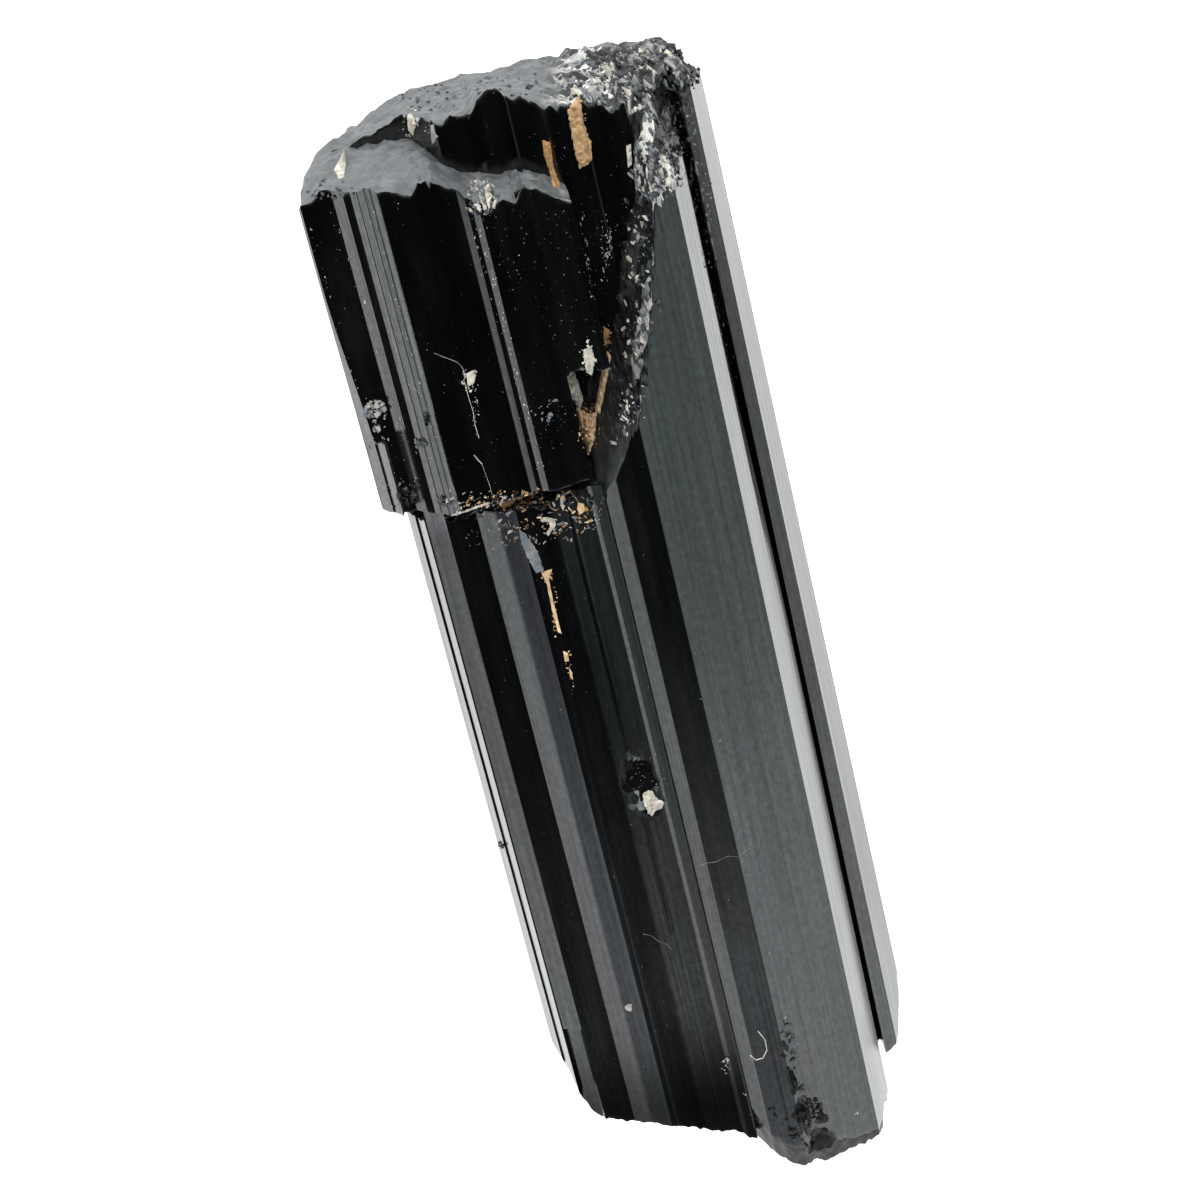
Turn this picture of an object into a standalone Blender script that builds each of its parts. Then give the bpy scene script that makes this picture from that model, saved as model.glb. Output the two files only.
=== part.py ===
# A black tourmaline crystal: prisms that grew side by side into one piece, broken at both ends.
# It lies on a flat prism face, its length along Y, with the stepped and striated front face up.

import bpy
import bmesh
from mathutils import Vector, noise
from mathutils.geometry import delaunay_2d_cdt

# Driving dimensions, in millimetres: X runs across the crystal, Y along it, and Z up from the
# face that it rests on. Y is zero a little above the middle of the length.
MM = 0.001
HALF_LENGTH_UP = 26.4
HALF_LENGTH_DOWN = 33.6
BLOCK_LEDGE = 8.1
CLEFT_MOUTH = 13.3
RIB_END = -22.4
FRONT_BELOW_LEDGE = 0.9
RIB_ABOVE_LEDGE = 1.0

# Grid of the broken surfaces, and how far they stray from even.
BREAK_CELL = 0.7
BREAK_HEIGHT = 0.22
BREAK_SIZE = 1.6
STRAY = 0.35
WALL_ROWS = 5

BLACK = (0.012, 0.013, 0.014, 1.0)
BLACK_ROUGHNESS = 0.25

# Outlines of the prisms across the length, as corners (across, height).
BACK_OUTLINE = [
    (-8.20, 6.9), (-8.05, 5.6), (-7.85, 5.5), (-7.90, 4.6), (-7.30, 3.2), (-7.10, 3.15),
    (-6.50, 1.8), (-5.60, 0.5), (-5.00, 0.0), (7.80, 0.0), (8.60, 0.5), (8.80, 0.45),
    (10.00, 1.6), (10.50, 2.4), (10.65, 2.35), (11.08, 3.4), (11.04, 4.3), (10.06, 6.95),
    (9.38, 7.25), (9.30, 6.1), (8.30, 7.2), (7.50, 8.7), (6.50, 10.5), (4.50, 10.45),
    (4.40, 10.7), (2.90, 10.75), (2.70, 10.45), (1.30, 10.5), (1.20, 10.75), (-2.20, 10.7),
    (-2.45, 9.9), (-3.30, 8.2), (-3.60, 7.2), (-5.50, 6.8), (-7.90, 7.1),
]
FRONT_OUTLINE = [
    (-8.15, 9.2), (-7.77, 10.36), (-7.70, 10.34), (-7.30, 11.72), (-7.18, 11.45),
    (-6.40, 11.80), (-6.28, 12.05), (-4.79, 11.96), (-3.90, 12.43), (-2.91, 12.73),
    (-1.26, 12.65), (0.68, 12.34), (0.88, 12.49), (1.36, 12.44), (1.42, 11.5),
    (1.60, 9.0), (-6.00, 5.4), (-7.60, 5.9), (-8.12, 7.3), (-8.22, 8.3),
]
RIB_OUTLINE = [(-7.26, 11.3), (-7.22, 11.72), (-6.30, 12.12), (-6.15, 11.4)]
BLOCK_OUTLINE = [
    (-9.10, 11.40), (-8.58, 12.06), (-8.38, 12.08), (-7.46, 12.08), (-7.00, 12.60),
    (-6.42, 12.58), (-5.50, 13.58), (-1.93, 13.33), (-1.64, 13.46), (-1.40, 13.44),
    (-1.11, 13.60), (0.98, 13.45), (1.02, 9.8), (-3.00, 7.4), (-6.00, 5.7), (-7.80, 5.9),
    (-8.80, 7.7), (-9.02, 9.2),
]
WING_OUTLINE = [
    (0.60, 13.38), (3.06, 13.20), (3.02, 11.2), (2.60, 9.7), (0.60, 9.6),
]
SIDE_OUTLINE = [
    (1.20, 12.26), (2.10, 12.71), (3.75, 12.94), (7.86, 11.68), (9.04, 8.20), (8.60, 5.6),
    (2.00, 8.1), (1.25, 10.0),
]

# Where the prisms end, as (across, along). The back prism's broken top has a line for its
# front rim and one for its back rim, and the others rise or fall by a slope going back.
BACK_TOP_FRONT = [
    (-8.2, -1.8), (-6.0, -1.1), (-4.5, -0.8), (-3.6, -0.5), (-2.3, -0.5), (0.0, -0.4),
    (2.7, -0.8), (4.5, -1.4), (6.1, -2.0), (8.2, -1.6), (9.3, -1.6), (9.75, -1.8),
    (10.0, -2.0), (10.5, -2.5), (11.00, -2.9),
]
BACK_TOP_BACK = [
    (-8.2, -2.3), (-6.0, -2.1), (-3.6, -1.3), (0.0, -1.1), (4.0, -1.25), (8.4, -1.55),
    (9.3, -1.4), (9.7, -1.5), (10.0, -2.1), (10.5, -2.7), (11.00, -3.0),
]
BACK_BOTTOM = [
    (-8.2, 9.2), (-7.4, 7.4), (-6.5, 5.6), (-4.9, 4.9), (0.0, 3.1), (1.3, 1.3), (2.6, 0.2),
    (5.0, 0.6), (9.2, 1.7), (10.3, 2.0), (10.75, 2.9), (11.00, 4.3),
]
FRONT_BOTTOM = [
    (-8.15, 8.9), (-7.7, 8.2), (-7.38, 7.6), (-7.2, 6.6), (-6.77, 5.5), (-4.91, 4.85),
    (-2.44, 4.4), (0.0, 3.1), (1.37, 2.3),
]
BLOCK_TOP = [
    (-9.1, -2.9), (-8.6, -2.55), (-8.0, -2.3), (-5.8, -2.5), (-2.9, -2.5), (-1.6, -3.5),
    (0.0, -3.95), (1.1, -3.8),
]
WING_TOP = [(0.6, -3.8), (1.4, -4.0), (3.06, -5.1)]
BLOCK_BOTTOM = [(-9.1, 0.3), (-8.0, 0.1), (-5.8, -0.3), (-2.9, -0.05), (1.1, -0.1)]
WING_BOTTOM = [(0.6, 0.0), (1.6, 0.1), (3.06, -0.1)]
SIDE_BOTTOM = [
    (1.2, 2.6), (1.95, 1.3), (2.6, 0.3), (3.6, -0.5), (4.6, -0.9), (5.6, -0.7),
    (6.4, -0.5), (8.2, -0.4), (8.9, -0.5), (9.15, -0.5),
]
SIDE_BOTTOM_FRONT = [
    (1.2, 4.4), (1.6, 3.4), (2.1, 2.4), (2.7, 1.6), (3.6, 1.2), (4.2, 1.7), (5.0, 0.8),
    (6.3, 0.4), (8.2, 0.2), (9.15, 0.0),
]
FRONT_HEIGHT = 10.5
BACK_HEIGHT = 1.0
PRISM_FRONT = 12.0
BLOCK_FRONT = 13.3
BOTTOM_RISE = 0.10
BLOCK_TOP_RISE = 0.12
BLOCK_CORNER = (-9.4, 2.0)

# The slanting break over the right prism: its front rim, and its rise for each millimetre
# going back. Above it is a terrace, steep on its left and flat on its right, which stays below
# the back prism's top. The back prism's right corner is broken off.
SLANT_FRONT = [
    (1.2, 6.4), (1.95, 7.35), (2.7, 8.5), (3.95, 10.5), (5.15, 13.8), (6.05, 16.7),
    (6.3, 17.8), (6.75, 20.2), (9.2, 28.0),
]
SLANT_BACK = 2.0
TERRACE_START = (12.0, 20.1)
TERRACE_BACK = [(7.2, 3.0), (8.2, 0.35)]
TERRACE_BELOW_TOP = 0.5
CORNER_START = (8.2, 23.0)
CORNER_BACK = 1.2
CORNER_LEFT = 7.2
CHIP_BACK = 2.2

# The right side leans in towards the top, by this much for each millimetre up.
LEAN = 0.0045
LEAN_FROM = (9.0, -10.0)

# Pits: where they are, how wide and how deep.
PITS = [
    ((-0.15, -8.3, 12.75), (0.75, 1.0, 0.55)),
    ((0.15, -10.5, 12.6), (0.55, 0.6, 0.30)),
    ((-1.20, 26.1, 2.2), (0.8, 0.6, 1.1)),
    ((3.85, -28.0, 13.10), (0.30, 1.1, 0.40)),
    ((4.00, -30.5, 13.05), (0.45, 1.2, 0.50)),
    ((4.70, -32.9, 12.70), (0.90, 1.3, 0.60)),
]
PIT_ROUGHNESS = 0.35


def between(profile, x):
    """Value at x on a line drawn through the profile's points."""
    if x <= profile[0][0]:
        return profile[0][1]
    for (x0, y0), (x1, y1) in zip(profile, profile[1:]):
        if x <= x1:
            return y0 + (y1 - y0) * (x - x0) / (x1 - x0)
    return profile[-1][1]


def rough(x, z, seed):
    """Unevenness of a broken surface, as a sum of two sizes of lumps."""
    big = noise.noise(Vector((x / BREAK_SIZE, z / BREAK_SIZE, seed)))
    small = noise.noise(Vector((2.3 * x / BREAK_SIZE, 2.3 * z / BREAK_SIZE, seed + 9.0)))
    return BREAK_HEIGHT * (big + 0.6 * small)


def back_top(x, z):
    share = (z - BACK_HEIGHT) / (FRONT_HEIGHT - BACK_HEIGHT)
    front, back = between(BACK_TOP_FRONT, x), between(BACK_TOP_BACK, x)
    level = HALF_LENGTH_UP + back + (front - back) * share
    if x > CORNER_LEFT:
        height, start = CORNER_START
        level = min(level, start + CORNER_BACK * (height - z))
    return level + rough(x, z, 1.0)


def back_bottom(x, z):
    rise = BOTTOM_RISE * (FRONT_HEIGHT - z)
    return between(BACK_BOTTOM, x) - HALF_LENGTH_DOWN + rise + rough(x, z, 2.0)


def front_top(x, z):
    return BLOCK_LEDGE - FRONT_BELOW_LEDGE + rough(x, z, 3.0)


def front_bottom(x, z):
    rise = BOTTOM_RISE * (PRISM_FRONT - z)
    return between(FRONT_BOTTOM, x) - HALF_LENGTH_DOWN + rise + rough(x, z, 4.0)


def rib_bottom(x, z):
    return RIB_END + 0.5 * rough(x, z, 5.0)


def rib_top(x, z):
    return BLOCK_LEDGE + RIB_ABOVE_LEDGE


def block_top(x, z):
    corner_left, corner_width = BLOCK_CORNER
    away = min((x - corner_left) / corner_width, 1.0)
    rise = BLOCK_TOP_RISE * (BLOCK_FRONT - z) * away
    return HALF_LENGTH_UP + between(BLOCK_TOP, x) + rise + rough(x, z, 6.0)


def block_bottom(x, z):
    return BLOCK_LEDGE + between(BLOCK_BOTTOM, x) + 0.5 * rough(x, z, 7.0)


def wing_top(x, z):
    rise = BLOCK_TOP_RISE * (BLOCK_FRONT - z)
    return HALF_LENGTH_UP + between(WING_TOP, x) + rise + rough(x, z, 6.0)


def wing_bottom(x, z):
    return CLEFT_MOUTH + between(WING_BOTTOM, x) + rough(x, z, 8.0)


def side_front(x):
    """Height of the right prism's front, which its outline gives first."""
    return between(SIDE_OUTLINE[:5], x)


def side_top(x, z):
    slant = between(SLANT_FRONT, x) + SLANT_BACK * (side_front(x) - z)
    terrace_z, terrace_y = TERRACE_START
    terrace = terrace_y + between(TERRACE_BACK, x) * (terrace_z - z)
    limit = HALF_LENGTH_UP + between(BACK_TOP_FRONT, x) - TERRACE_BELOW_TOP
    return min(slant, terrace, limit) + rough(x, z, 1.0)


def side_bottom(x, z):
    edge = between(SIDE_BOTTOM_FRONT, x) - CHIP_BACK * max(side_front(x) - z, 0.0)
    low = between(SIDE_BOTTOM, x) + BOTTOM_RISE * (PRISM_FRONT - z)
    return max(edge, low) - HALF_LENGTH_DOWN + rough(x, z, 9.0)


def with_midpoints(outline, spacing):
    """The outline with points added so that no stretch is longer than the spacing."""
    points = []
    for start, end in zip(outline, outline[1:] + outline[:1]):
        start, end = Vector(start), Vector(end)
        count = max(1, round((end - start).length / spacing))
        points += [start.lerp(end, i / count) for i in range(count)]
    return points


def is_inside(point, rim):
    inside = False
    for a, b in zip(rim, rim[1:] + rim[:1]):
        if (a.y > point.y) != (b.y > point.y):
            if point.x < a.x + (b.x - a.x) * (point.y - a.y) / (b.y - a.y):
                inside = not inside
    return inside


def rim_distance(point, rim):
    nearest = []
    for a, b in zip(rim, rim[1:] + rim[:1]):
        share = (point - a).dot(b - a) / (b - a).length_squared
        foot = a.lerp(b, min(max(share, 0.0), 1.0))
        nearest.append((point - foot).length)
    return min(nearest)


def fill_points(rim, spacing):
    """Staggered points inside the rim, a little out of line as broken faces are."""
    left, right = min(p.x for p in rim), max(p.x for p in rim)
    low, high = min(p.y for p in rim), max(p.y for p in rim)
    points = []
    for row in range(int((high - low) / spacing) + 1):
        for column in range(int((right - left) / spacing) + 1):
            place = Vector((column * 0.73, row * 0.61, 0.5))
            stray_x = STRAY * noise.noise(place)
            stray_z = STRAY * noise.noise(place + Vector((0.0, 0.0, 5.0)))
            x = left + (column + 0.5 * (row % 2) + stray_x) * spacing
            z = low + (row + stray_z) * spacing
            point = Vector((x, z))
            if is_inside(point, rim) and rim_distance(point, rim) > 0.45 * spacing:
                points.append(point)
    return points


def prism(name, outline, bottom, top):
    """A closed prism along Y whose two ends follow the broken surfaces bottom and top."""
    rim = with_midpoints(outline, BREAK_CELL)
    count = len(rim)
    rim_edges = [(i, (i + 1) % count) for i in range(count)]
    flat = rim + fill_points(rim, BREAK_CELL)
    points, _, faces, _, _, _ = delaunay_2d_cdt(flat, rim_edges, [], 1, 1e-6)

    mesh = bmesh.new()
    ends = []
    for surface in (bottom, top):
        ends.append([mesh.verts.new((p.x, surface(p.x, p.y), p.y)) for p in points])
    rows = [ends[0][:count]]
    for row in range(1, WALL_ROWS):
        share = row / WALL_ROWS
        pairs = zip(ends[0][:count], ends[1][:count])
        rows.append([mesh.verts.new(a.co.lerp(b.co, share)) for a, b in pairs])
    rows.append(ends[1][:count])
    for end in ends:
        for face in faces:
            mesh.faces.new([end[i] for i in face])
    for lower, upper in zip(rows, rows[1:]):
        for a, b in rim_edges:
            mesh.faces.new((lower[a], lower[b], upper[b], upper[a]))
    lean_x, lean_y = LEAN_FROM
    for vert in mesh.verts:
        vert.co.x -= LEAN * (vert.co.y - lean_y) * max(vert.co.x - lean_x, 0.0)
    return finish_mesh(name, mesh)


def pit(name, place, size):
    """A lumpy ball that takes a pit out of the surface."""
    mesh = bmesh.new()
    bmesh.ops.create_icosphere(mesh, subdivisions=2, radius=1.0)
    for vert in mesh.verts:
        stretch = 1.0 + PIT_ROUGHNESS * noise.noise(vert.co * 1.7 + Vector(place))
        vert.co = Vector(c * s * stretch + p for c, s, p in zip(vert.co, size, place))
    return finish_mesh(name, mesh)


def finish_mesh(name, mesh):
    bmesh.ops.recalc_face_normals(mesh, faces=mesh.faces)
    bmesh.ops.triangulate(mesh, faces=mesh.faces)
    bmesh.ops.scale(mesh, vec=(MM, MM, MM), verts=mesh.verts)
    data = bpy.data.meshes.new(name)
    mesh.to_mesh(data)
    mesh.free()
    body = bpy.data.objects.new(name, data)
    bpy.context.scene.collection.objects.link(body)
    return body


def centre_on_origin(pieces, prisms):
    """Move every mesh so that the crystal's box stands on the origin."""
    corners = [vert.co for body in prisms for vert in body.data.vertices]
    low = Vector(min(c[i] for c in corners) for i in range(3))
    high = Vector(max(c[i] for c in corners) for i in range(3))
    middle = (low + high) / 2
    shift = Vector((-middle.x, -middle.y, -low.z))
    for body in pieces:
        for vert in body.data.vertices:
            vert.co += shift


def black_tourmaline():
    material = bpy.data.materials.new("black_tourmaline")
    material.use_nodes = True
    shader = material.node_tree.nodes["Principled BSDF"]
    shader.inputs["Base Color"].default_value = BLACK
    shader.inputs["Roughness"].default_value = BLACK_ROUGHNESS
    shader.inputs["Metallic"].default_value = 0.0
    return material


def combine(body, cutter, operation):
    cutter.hide_render = True
    cutter.display_type = 'WIRE'
    step = body.modifiers.new(cutter.name, 'BOOLEAN')
    step.object = cutter
    step.operation = operation
    step.solver = 'EXACT'


def build_crystal():
    crystal = prism("crystal", BACK_OUTLINE, back_bottom, back_top)
    others = [
        prism("front_prism", FRONT_OUTLINE, front_bottom, front_top),
        prism("left_rib", RIB_OUTLINE, rib_bottom, rib_top),
        prism("upper_block", BLOCK_OUTLINE, block_bottom, block_top),
        prism("upper_wing", WING_OUTLINE, wing_bottom, wing_top),
        prism("right_prism", SIDE_OUTLINE, side_bottom, side_top),
    ]
    pits = [pit(f"pit_{i}", place, size) for i, (place, size) in enumerate(PITS)]
    centre_on_origin([crystal] + others + pits, [crystal] + others)
    for other in others:
        combine(crystal, other, 'UNION')
    for hollow in pits:
        combine(crystal, hollow, 'DIFFERENCE')
    crystal.data.materials.append(black_tourmaline())


for old in list(bpy.data.objects):
    bpy.data.objects.remove(old, do_unlink=True)
build_crystal()
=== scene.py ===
import math
import random

import bmesh
import bpy
import numpy as np
from mathutils import Matrix, Vector, noise
from mathutils.bvhtree import BVHTree
from mathutils.geometry import delaunay_2d_cdt


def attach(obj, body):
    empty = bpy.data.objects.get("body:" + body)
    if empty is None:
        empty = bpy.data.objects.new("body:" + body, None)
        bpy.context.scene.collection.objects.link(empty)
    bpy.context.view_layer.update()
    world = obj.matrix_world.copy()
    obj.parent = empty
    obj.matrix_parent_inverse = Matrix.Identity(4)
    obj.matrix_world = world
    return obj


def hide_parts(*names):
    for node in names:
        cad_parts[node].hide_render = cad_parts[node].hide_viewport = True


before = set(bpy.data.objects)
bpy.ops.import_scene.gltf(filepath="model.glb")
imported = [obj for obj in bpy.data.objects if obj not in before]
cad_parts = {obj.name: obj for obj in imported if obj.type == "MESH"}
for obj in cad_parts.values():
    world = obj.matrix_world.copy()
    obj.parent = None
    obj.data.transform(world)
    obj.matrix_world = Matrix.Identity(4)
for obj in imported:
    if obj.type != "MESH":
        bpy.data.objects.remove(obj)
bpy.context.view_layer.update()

# The look of a black tourmaline crystal: finely striated glassy prisms, dull broken ends, and
# the ochre, cream and white grains that sit in its cleft and on its breaks.

# Driving dimensions, in millimetres, as the crystal's solids have them: X runs across the
# crystal, Y along it and Z up from the face that it rests on.
MM = 0.001
HALF_LENGTH_UP = 26.4
HALF_LENGTH_DOWN = 33.6
BLOCK_LEDGE = 8.1
CLEFT_MOUTH = 13.3
RIB_END = -22.4
FRONT_BELOW_LEDGE = 0.9
RIB_ABOVE_LEDGE = 1.0
BREAK_HEIGHT = 0.22
BREAK_SIZE = 1.6

# Middle of the crystal's box on its rest face, which the model has at its origin.
MIDDLE = (1.0771, -4.1425, 0.0)

# Outlines of the prisms across the length, as corners (across, height).
BACK_OUTLINE = [
    (-8.20, 6.9), (-8.05, 5.6), (-7.85, 5.5), (-7.90, 4.6), (-7.30, 3.2), (-7.10, 3.15),
    (-6.50, 1.8), (-5.60, 0.5), (-5.00, 0.0), (7.80, 0.0), (8.60, 0.5), (8.80, 0.45),
    (10.00, 1.6), (10.50, 2.4), (10.65, 2.35), (11.08, 3.4), (11.04, 4.3), (10.06, 6.95),
    (9.38, 7.25), (9.30, 6.1), (8.30, 7.2), (7.50, 8.7), (6.50, 10.5), (4.50, 10.45),
    (4.40, 10.7), (2.90, 10.75), (2.70, 10.45), (1.30, 10.5), (1.20, 10.75), (-2.20, 10.7),
    (-2.45, 9.9), (-3.30, 8.2), (-3.60, 7.2), (-5.50, 6.8), (-7.90, 7.1),
]
FRONT_OUTLINE = [
    (-8.15, 9.2), (-7.77, 10.36), (-7.70, 10.34), (-7.30, 11.72), (-7.18, 11.45),
    (-6.40, 11.80), (-6.28, 12.05), (-4.79, 11.96), (-3.90, 12.43), (-2.91, 12.73),
    (-1.26, 12.65), (0.68, 12.39), (0.88, 12.52), (1.36, 12.44), (1.42, 11.5),
    (1.60, 9.0), (-6.00, 5.4), (-7.60, 5.9), (-8.12, 7.3), (-8.22, 8.3),
]
RIB_OUTLINE = [(-7.26, 11.3), (-7.22, 11.72), (-6.30, 12.12), (-6.15, 11.4)]
BLOCK_OUTLINE = [
    (-9.10, 11.40), (-8.58, 12.06), (-8.38, 12.08), (-7.46, 12.10), (-7.04, 12.40),
    (-6.98, 12.46), (-6.63, 12.46), (-6.35, 12.62), (-6.31, 12.62), (-6.00, 12.86),
    (-5.95, 12.85), (-5.75, 13.03), (-5.66, 13.06), (-5.47, 13.22), (-5.40, 13.50),
    (-1.93, 13.33), (-1.64, 13.46), (-1.40, 13.44), (-1.11, 13.60), (0.98, 13.45),
    (1.02, 9.8), (-3.00, 7.4), (-6.00, 5.7), (-7.80, 5.9), (-8.80, 7.7), (-9.02, 9.2),
]
FACET_OUTLINE = [(-8.52, 11.98), (-8.48, 12.08), (-8.12, 12.60), (-8.02, 11.98)]
WING_OUTLINE = [(0.60, 13.38), (3.06, 13.20), (3.02, 11.2), (2.60, 9.7), (0.60, 9.6)]
SIDE_OUTLINE = [
    (1.20, 12.26), (2.10, 12.71), (3.75, 12.94), (7.86, 11.68), (9.04, 8.20), (8.60, 5.6),
    (2.00, 8.1), (1.25, 10.0),
]
FACET_TOP = 12.0

# The block's left facet is narrower by this share at the top, and grows wider down this run.
NARROWING = 0.8
NARROW_RUN = (11.0, 20.0)
NARROW_SLACK = 0.01

# Where the prisms end, as (across, along). The back prism's broken top has a line for its
# front rim and one for its back rim, and the others rise or fall by a slope going back.
BACK_TOP_FRONT = [
    (-8.2, -1.8), (-6.0, -1.1), (-4.5, -0.8), (-3.6, -0.5), (-0.50, -0.5), (-0.10, 0.15),
    (0.70, 0.15), (1.60, -0.25), (2.7, -0.8), (4.5, -1.4), (6.1, -2.0), (8.2, -1.6),
    (9.3, -1.6), (9.75, -1.8), (10.0, -2.0), (10.5, -2.5), (11.00, -2.9),
]
BACK_TOP_BACK = [
    (-8.2, -2.3), (-6.0, -2.1), (-3.6, -1.3), (0.0, -1.1), (4.0, -1.25), (8.4, -1.55),
    (9.3, -1.4), (9.7, -1.5), (10.0, -2.1), (10.5, -2.7), (11.00, -3.0),
]
BACK_BOTTOM = [
    (-8.2, 9.2), (-7.4, 7.4), (-6.5, 5.6), (-4.9, 4.9), (0.0, 3.1), (1.3, 1.3), (2.6, 0.2),
    (5.0, 0.6), (9.2, 1.7), (10.3, 2.0), (10.75, 2.9), (11.00, 4.3),
]
FRONT_BOTTOM = [
    (-8.15, 8.9), (-7.7, 8.2), (-7.38, 7.6), (-7.2, 6.6), (-6.77, 5.5), (-4.91, 4.85),
    (-2.44, 4.4), (0.0, 3.1), (1.37, 2.3),
]
BLOCK_TOP = [
    (-9.1, -2.9), (-8.6, -2.55), (-8.0, -2.3), (-5.8, -2.5), (-2.9, -2.5), (-1.6, -3.5),
    (0.0, -3.95), (1.1, -3.8),
]
WING_TOP = [(0.6, -3.8), (1.4, -4.0), (3.06, -5.1)]
BLOCK_BOTTOM = [(-9.1, 0.3), (-8.0, 0.1), (-5.8, -0.3), (-2.9, -0.05), (1.1, -0.1)]
WING_BOTTOM = [(0.6, 0.0), (1.6, 0.1), (3.06, -0.1)]
SIDE_BOTTOM = [
    (1.2, 1.5), (1.95, 0.75), (2.6, 0.1), (3.6, -0.5), (4.6, -0.9), (5.6, -0.7),
    (6.4, -0.5), (8.2, -0.4), (8.9, -0.5), (9.15, -0.5),
]
SIDE_BOTTOM_FRONT = [
    (1.2, 4.4), (1.6, 3.4), (2.1, 2.4), (2.7, 1.6), (3.6, 1.2), (4.2, 1.7), (5.0, 0.8),
    (6.3, 0.4), (8.2, 0.2), (9.15, 0.0),
]
FRONT_HEIGHT = 10.5
BACK_HEIGHT = 1.0
PRISM_FRONT = 12.0
BLOCK_FRONT = 13.3
BOTTOM_RISE = 0.10
BLOCK_TOP_RISE = 0.12
BLOCK_CORNER = (-9.4, 2.0)

# The slanting break over the right prism: its front rim, and its rise for each millimetre
# going back. Above it is a terrace, and the back prism's right corner is broken off.
SLANT_FRONT = [
    (1.2, 6.4), (1.95, 7.35), (2.7, 8.5), (3.95, 10.5), (5.15, 13.8), (6.05, 16.7),
    (6.3, 17.8), (6.75, 20.2), (9.2, 28.0),
]
SLANT_BACK = 2.0
TERRACE_START = (12.0, 20.1)
TERRACE_BACK = [(7.2, 3.0), (8.2, 0.35)]
TERRACE_BELOW_TOP = 0.5
CORNER_START = (8.2, 23.0)
CORNER_BACK = 1.2
CORNER_LEFT = 7.2
CHIP_BACK = 2.2

# The right side leans in towards the top, by this much for each millimetre up.
LEAN = 0.0045
LEAN_FROM = (9.0, -10.0)

# The right prism's right face stands steeper towards the top, by this much over this run.
SIDE_DRAWN_IN = 0.22
SIDE_DRAWN_FROM = 8.7
SIDE_DRAWN_RUN = (-4.0, 17.0)

# Pits: where they are, how wide and how deep.
PITS = [
    ((-0.15, -8.3, 12.75), (0.75, 1.0, 0.55)),
    ((0.15, -10.5, 12.6), (0.55, 0.6, 0.30)),
    ((-1.20, 26.1, 2.2), (0.8, 0.6, 1.1)),
    ((3.85, -28.0, 13.10), (0.30, 1.1, 0.40)),
    ((4.00, -30.5, 13.05), (0.45, 1.2, 0.50)),
    ((4.70, -32.9, 12.70), (0.90, 1.3, 0.60)),
]
PIT_ROUGHNESS = 0.35
PIT_LUMPS = 1.7
PIT_FINENESS = 4

# Striations of the prism faces: how far apart their steps are, how deep, and over which
# lengths they come and go along the crystal.
STRIA_STEP = 0.36
STRIA_DEPTH = 0.007
STRIA_WANDER = (3.0, 9.0)
STRIA_SHARES = (0.65, 0.5)
STRIA_PHASES = (0.0, 6.3)
STRIA_PLACES = (0.06, 0.94)

# Spacing of mesh points round an outline, on faces that look up and on those that look down,
# and rows of points along the length: close together near the ends, then evenly.
FINE = 0.10
COARSE = 0.35
FACES_UP = -0.35
END_ROWS = (0.0, 0.05, 0.12, 0.28, 0.55, 1.0, 1.7)
MIDDLE_ROW = 1.1

# Crumbling of the rims where a prism face meets a break.
CRUMBLE = 0.014
CRUMBLE_REACH = 0.06
CRUMBLE_SIZE = 0.45
CRUMBLE_UNEVEN = 1.6
CORNER_ROUNDING = 3
THICKNESS_RUN = 0.3
ROOM_SHARE = 0.3
FAR = 1e9
SAME_PLACE = 1e-7

# How far the mesh's points over the ends stray in their cells.
CELL_STRAY = 0.3

# Lumps of the broken surfaces: (size, height), from large to small. The solids' own lumps have
# smaller ones on them, as (times smaller, share). Grit is how rough each kind of break is.
BREAK_LUMPS = [(0.75, 0.16), (0.36, 0.085), (0.17, 0.045)]
BREAK_FINER = (2.3, 0.6)
SMOOTH_GRIT = 0.55
CRUSHED_GRIT = 1.4
SLANT_GRIT = 0.4
LEDGE_SHARE = 0.5

# The crushed part of the top starts this far across, and the rubble of the slanting break
# this far up. Its lumps are (size, height), and lower where the break faces the top.
CRUSHED_FROM = (2.4, 4.4)
RUBBLE_FROM = (8.2, 11.0)
RUBBLE_LUMPS = [(0.8, 0.5), (0.38, 0.4), (0.2, 0.25)]
FLAT_RUBBLE = 0.5

# Bites out of the front rims of the breaks: how many, their widths and depths, how soon they
# end behind the rim, and the heights of the two rims.
BITES = 34
BITE_WIDTHS = (0.12, 0.55)
BITE_DEPTHS = (0.08, 0.5)
BITE_REACH = 0.7
BACK_RIM = 10.7
BLOCK_RIM = 13.5

# The back prism's right corner is crushed from here on, as (across, along, height below).
CRUSHED_CORNER = (6.2, 17.2, 10.45)
CORNER_HEIGHT = 11.4
CORNER_FALL = 1.3
CRUSH_LEAN = 0.12

# The marks of the surface come and go over these runs, across, along and up.
TOP_RUN = (19.5, 21.5)
BOTTOM_RUN = (-24.0, -20.0)
SLANT_ACROSS = (1.0, 1.6)
SLANT_RUN = (9.6, 12.0)
SLANT_RIM = (0.45, 1.2)
SLANT_FOOT = (5.5, 6.5, 9.0, 11.5)
CORNER_ACROSS = 0.6
CORNER_UNDER = 9.6
FILM_RUN = (-24.0, -3.0)

# The groove beside the right prism is dirty and rough towards the top.
DIRTY_GROOVE = (8.7, 9.25)
GROOVE_EDGES = (0.1, 0.2)
DIRTY_FROM = (9.0, 17.0)
DIRTY_BELOW = (7.6, 8.0)

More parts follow.
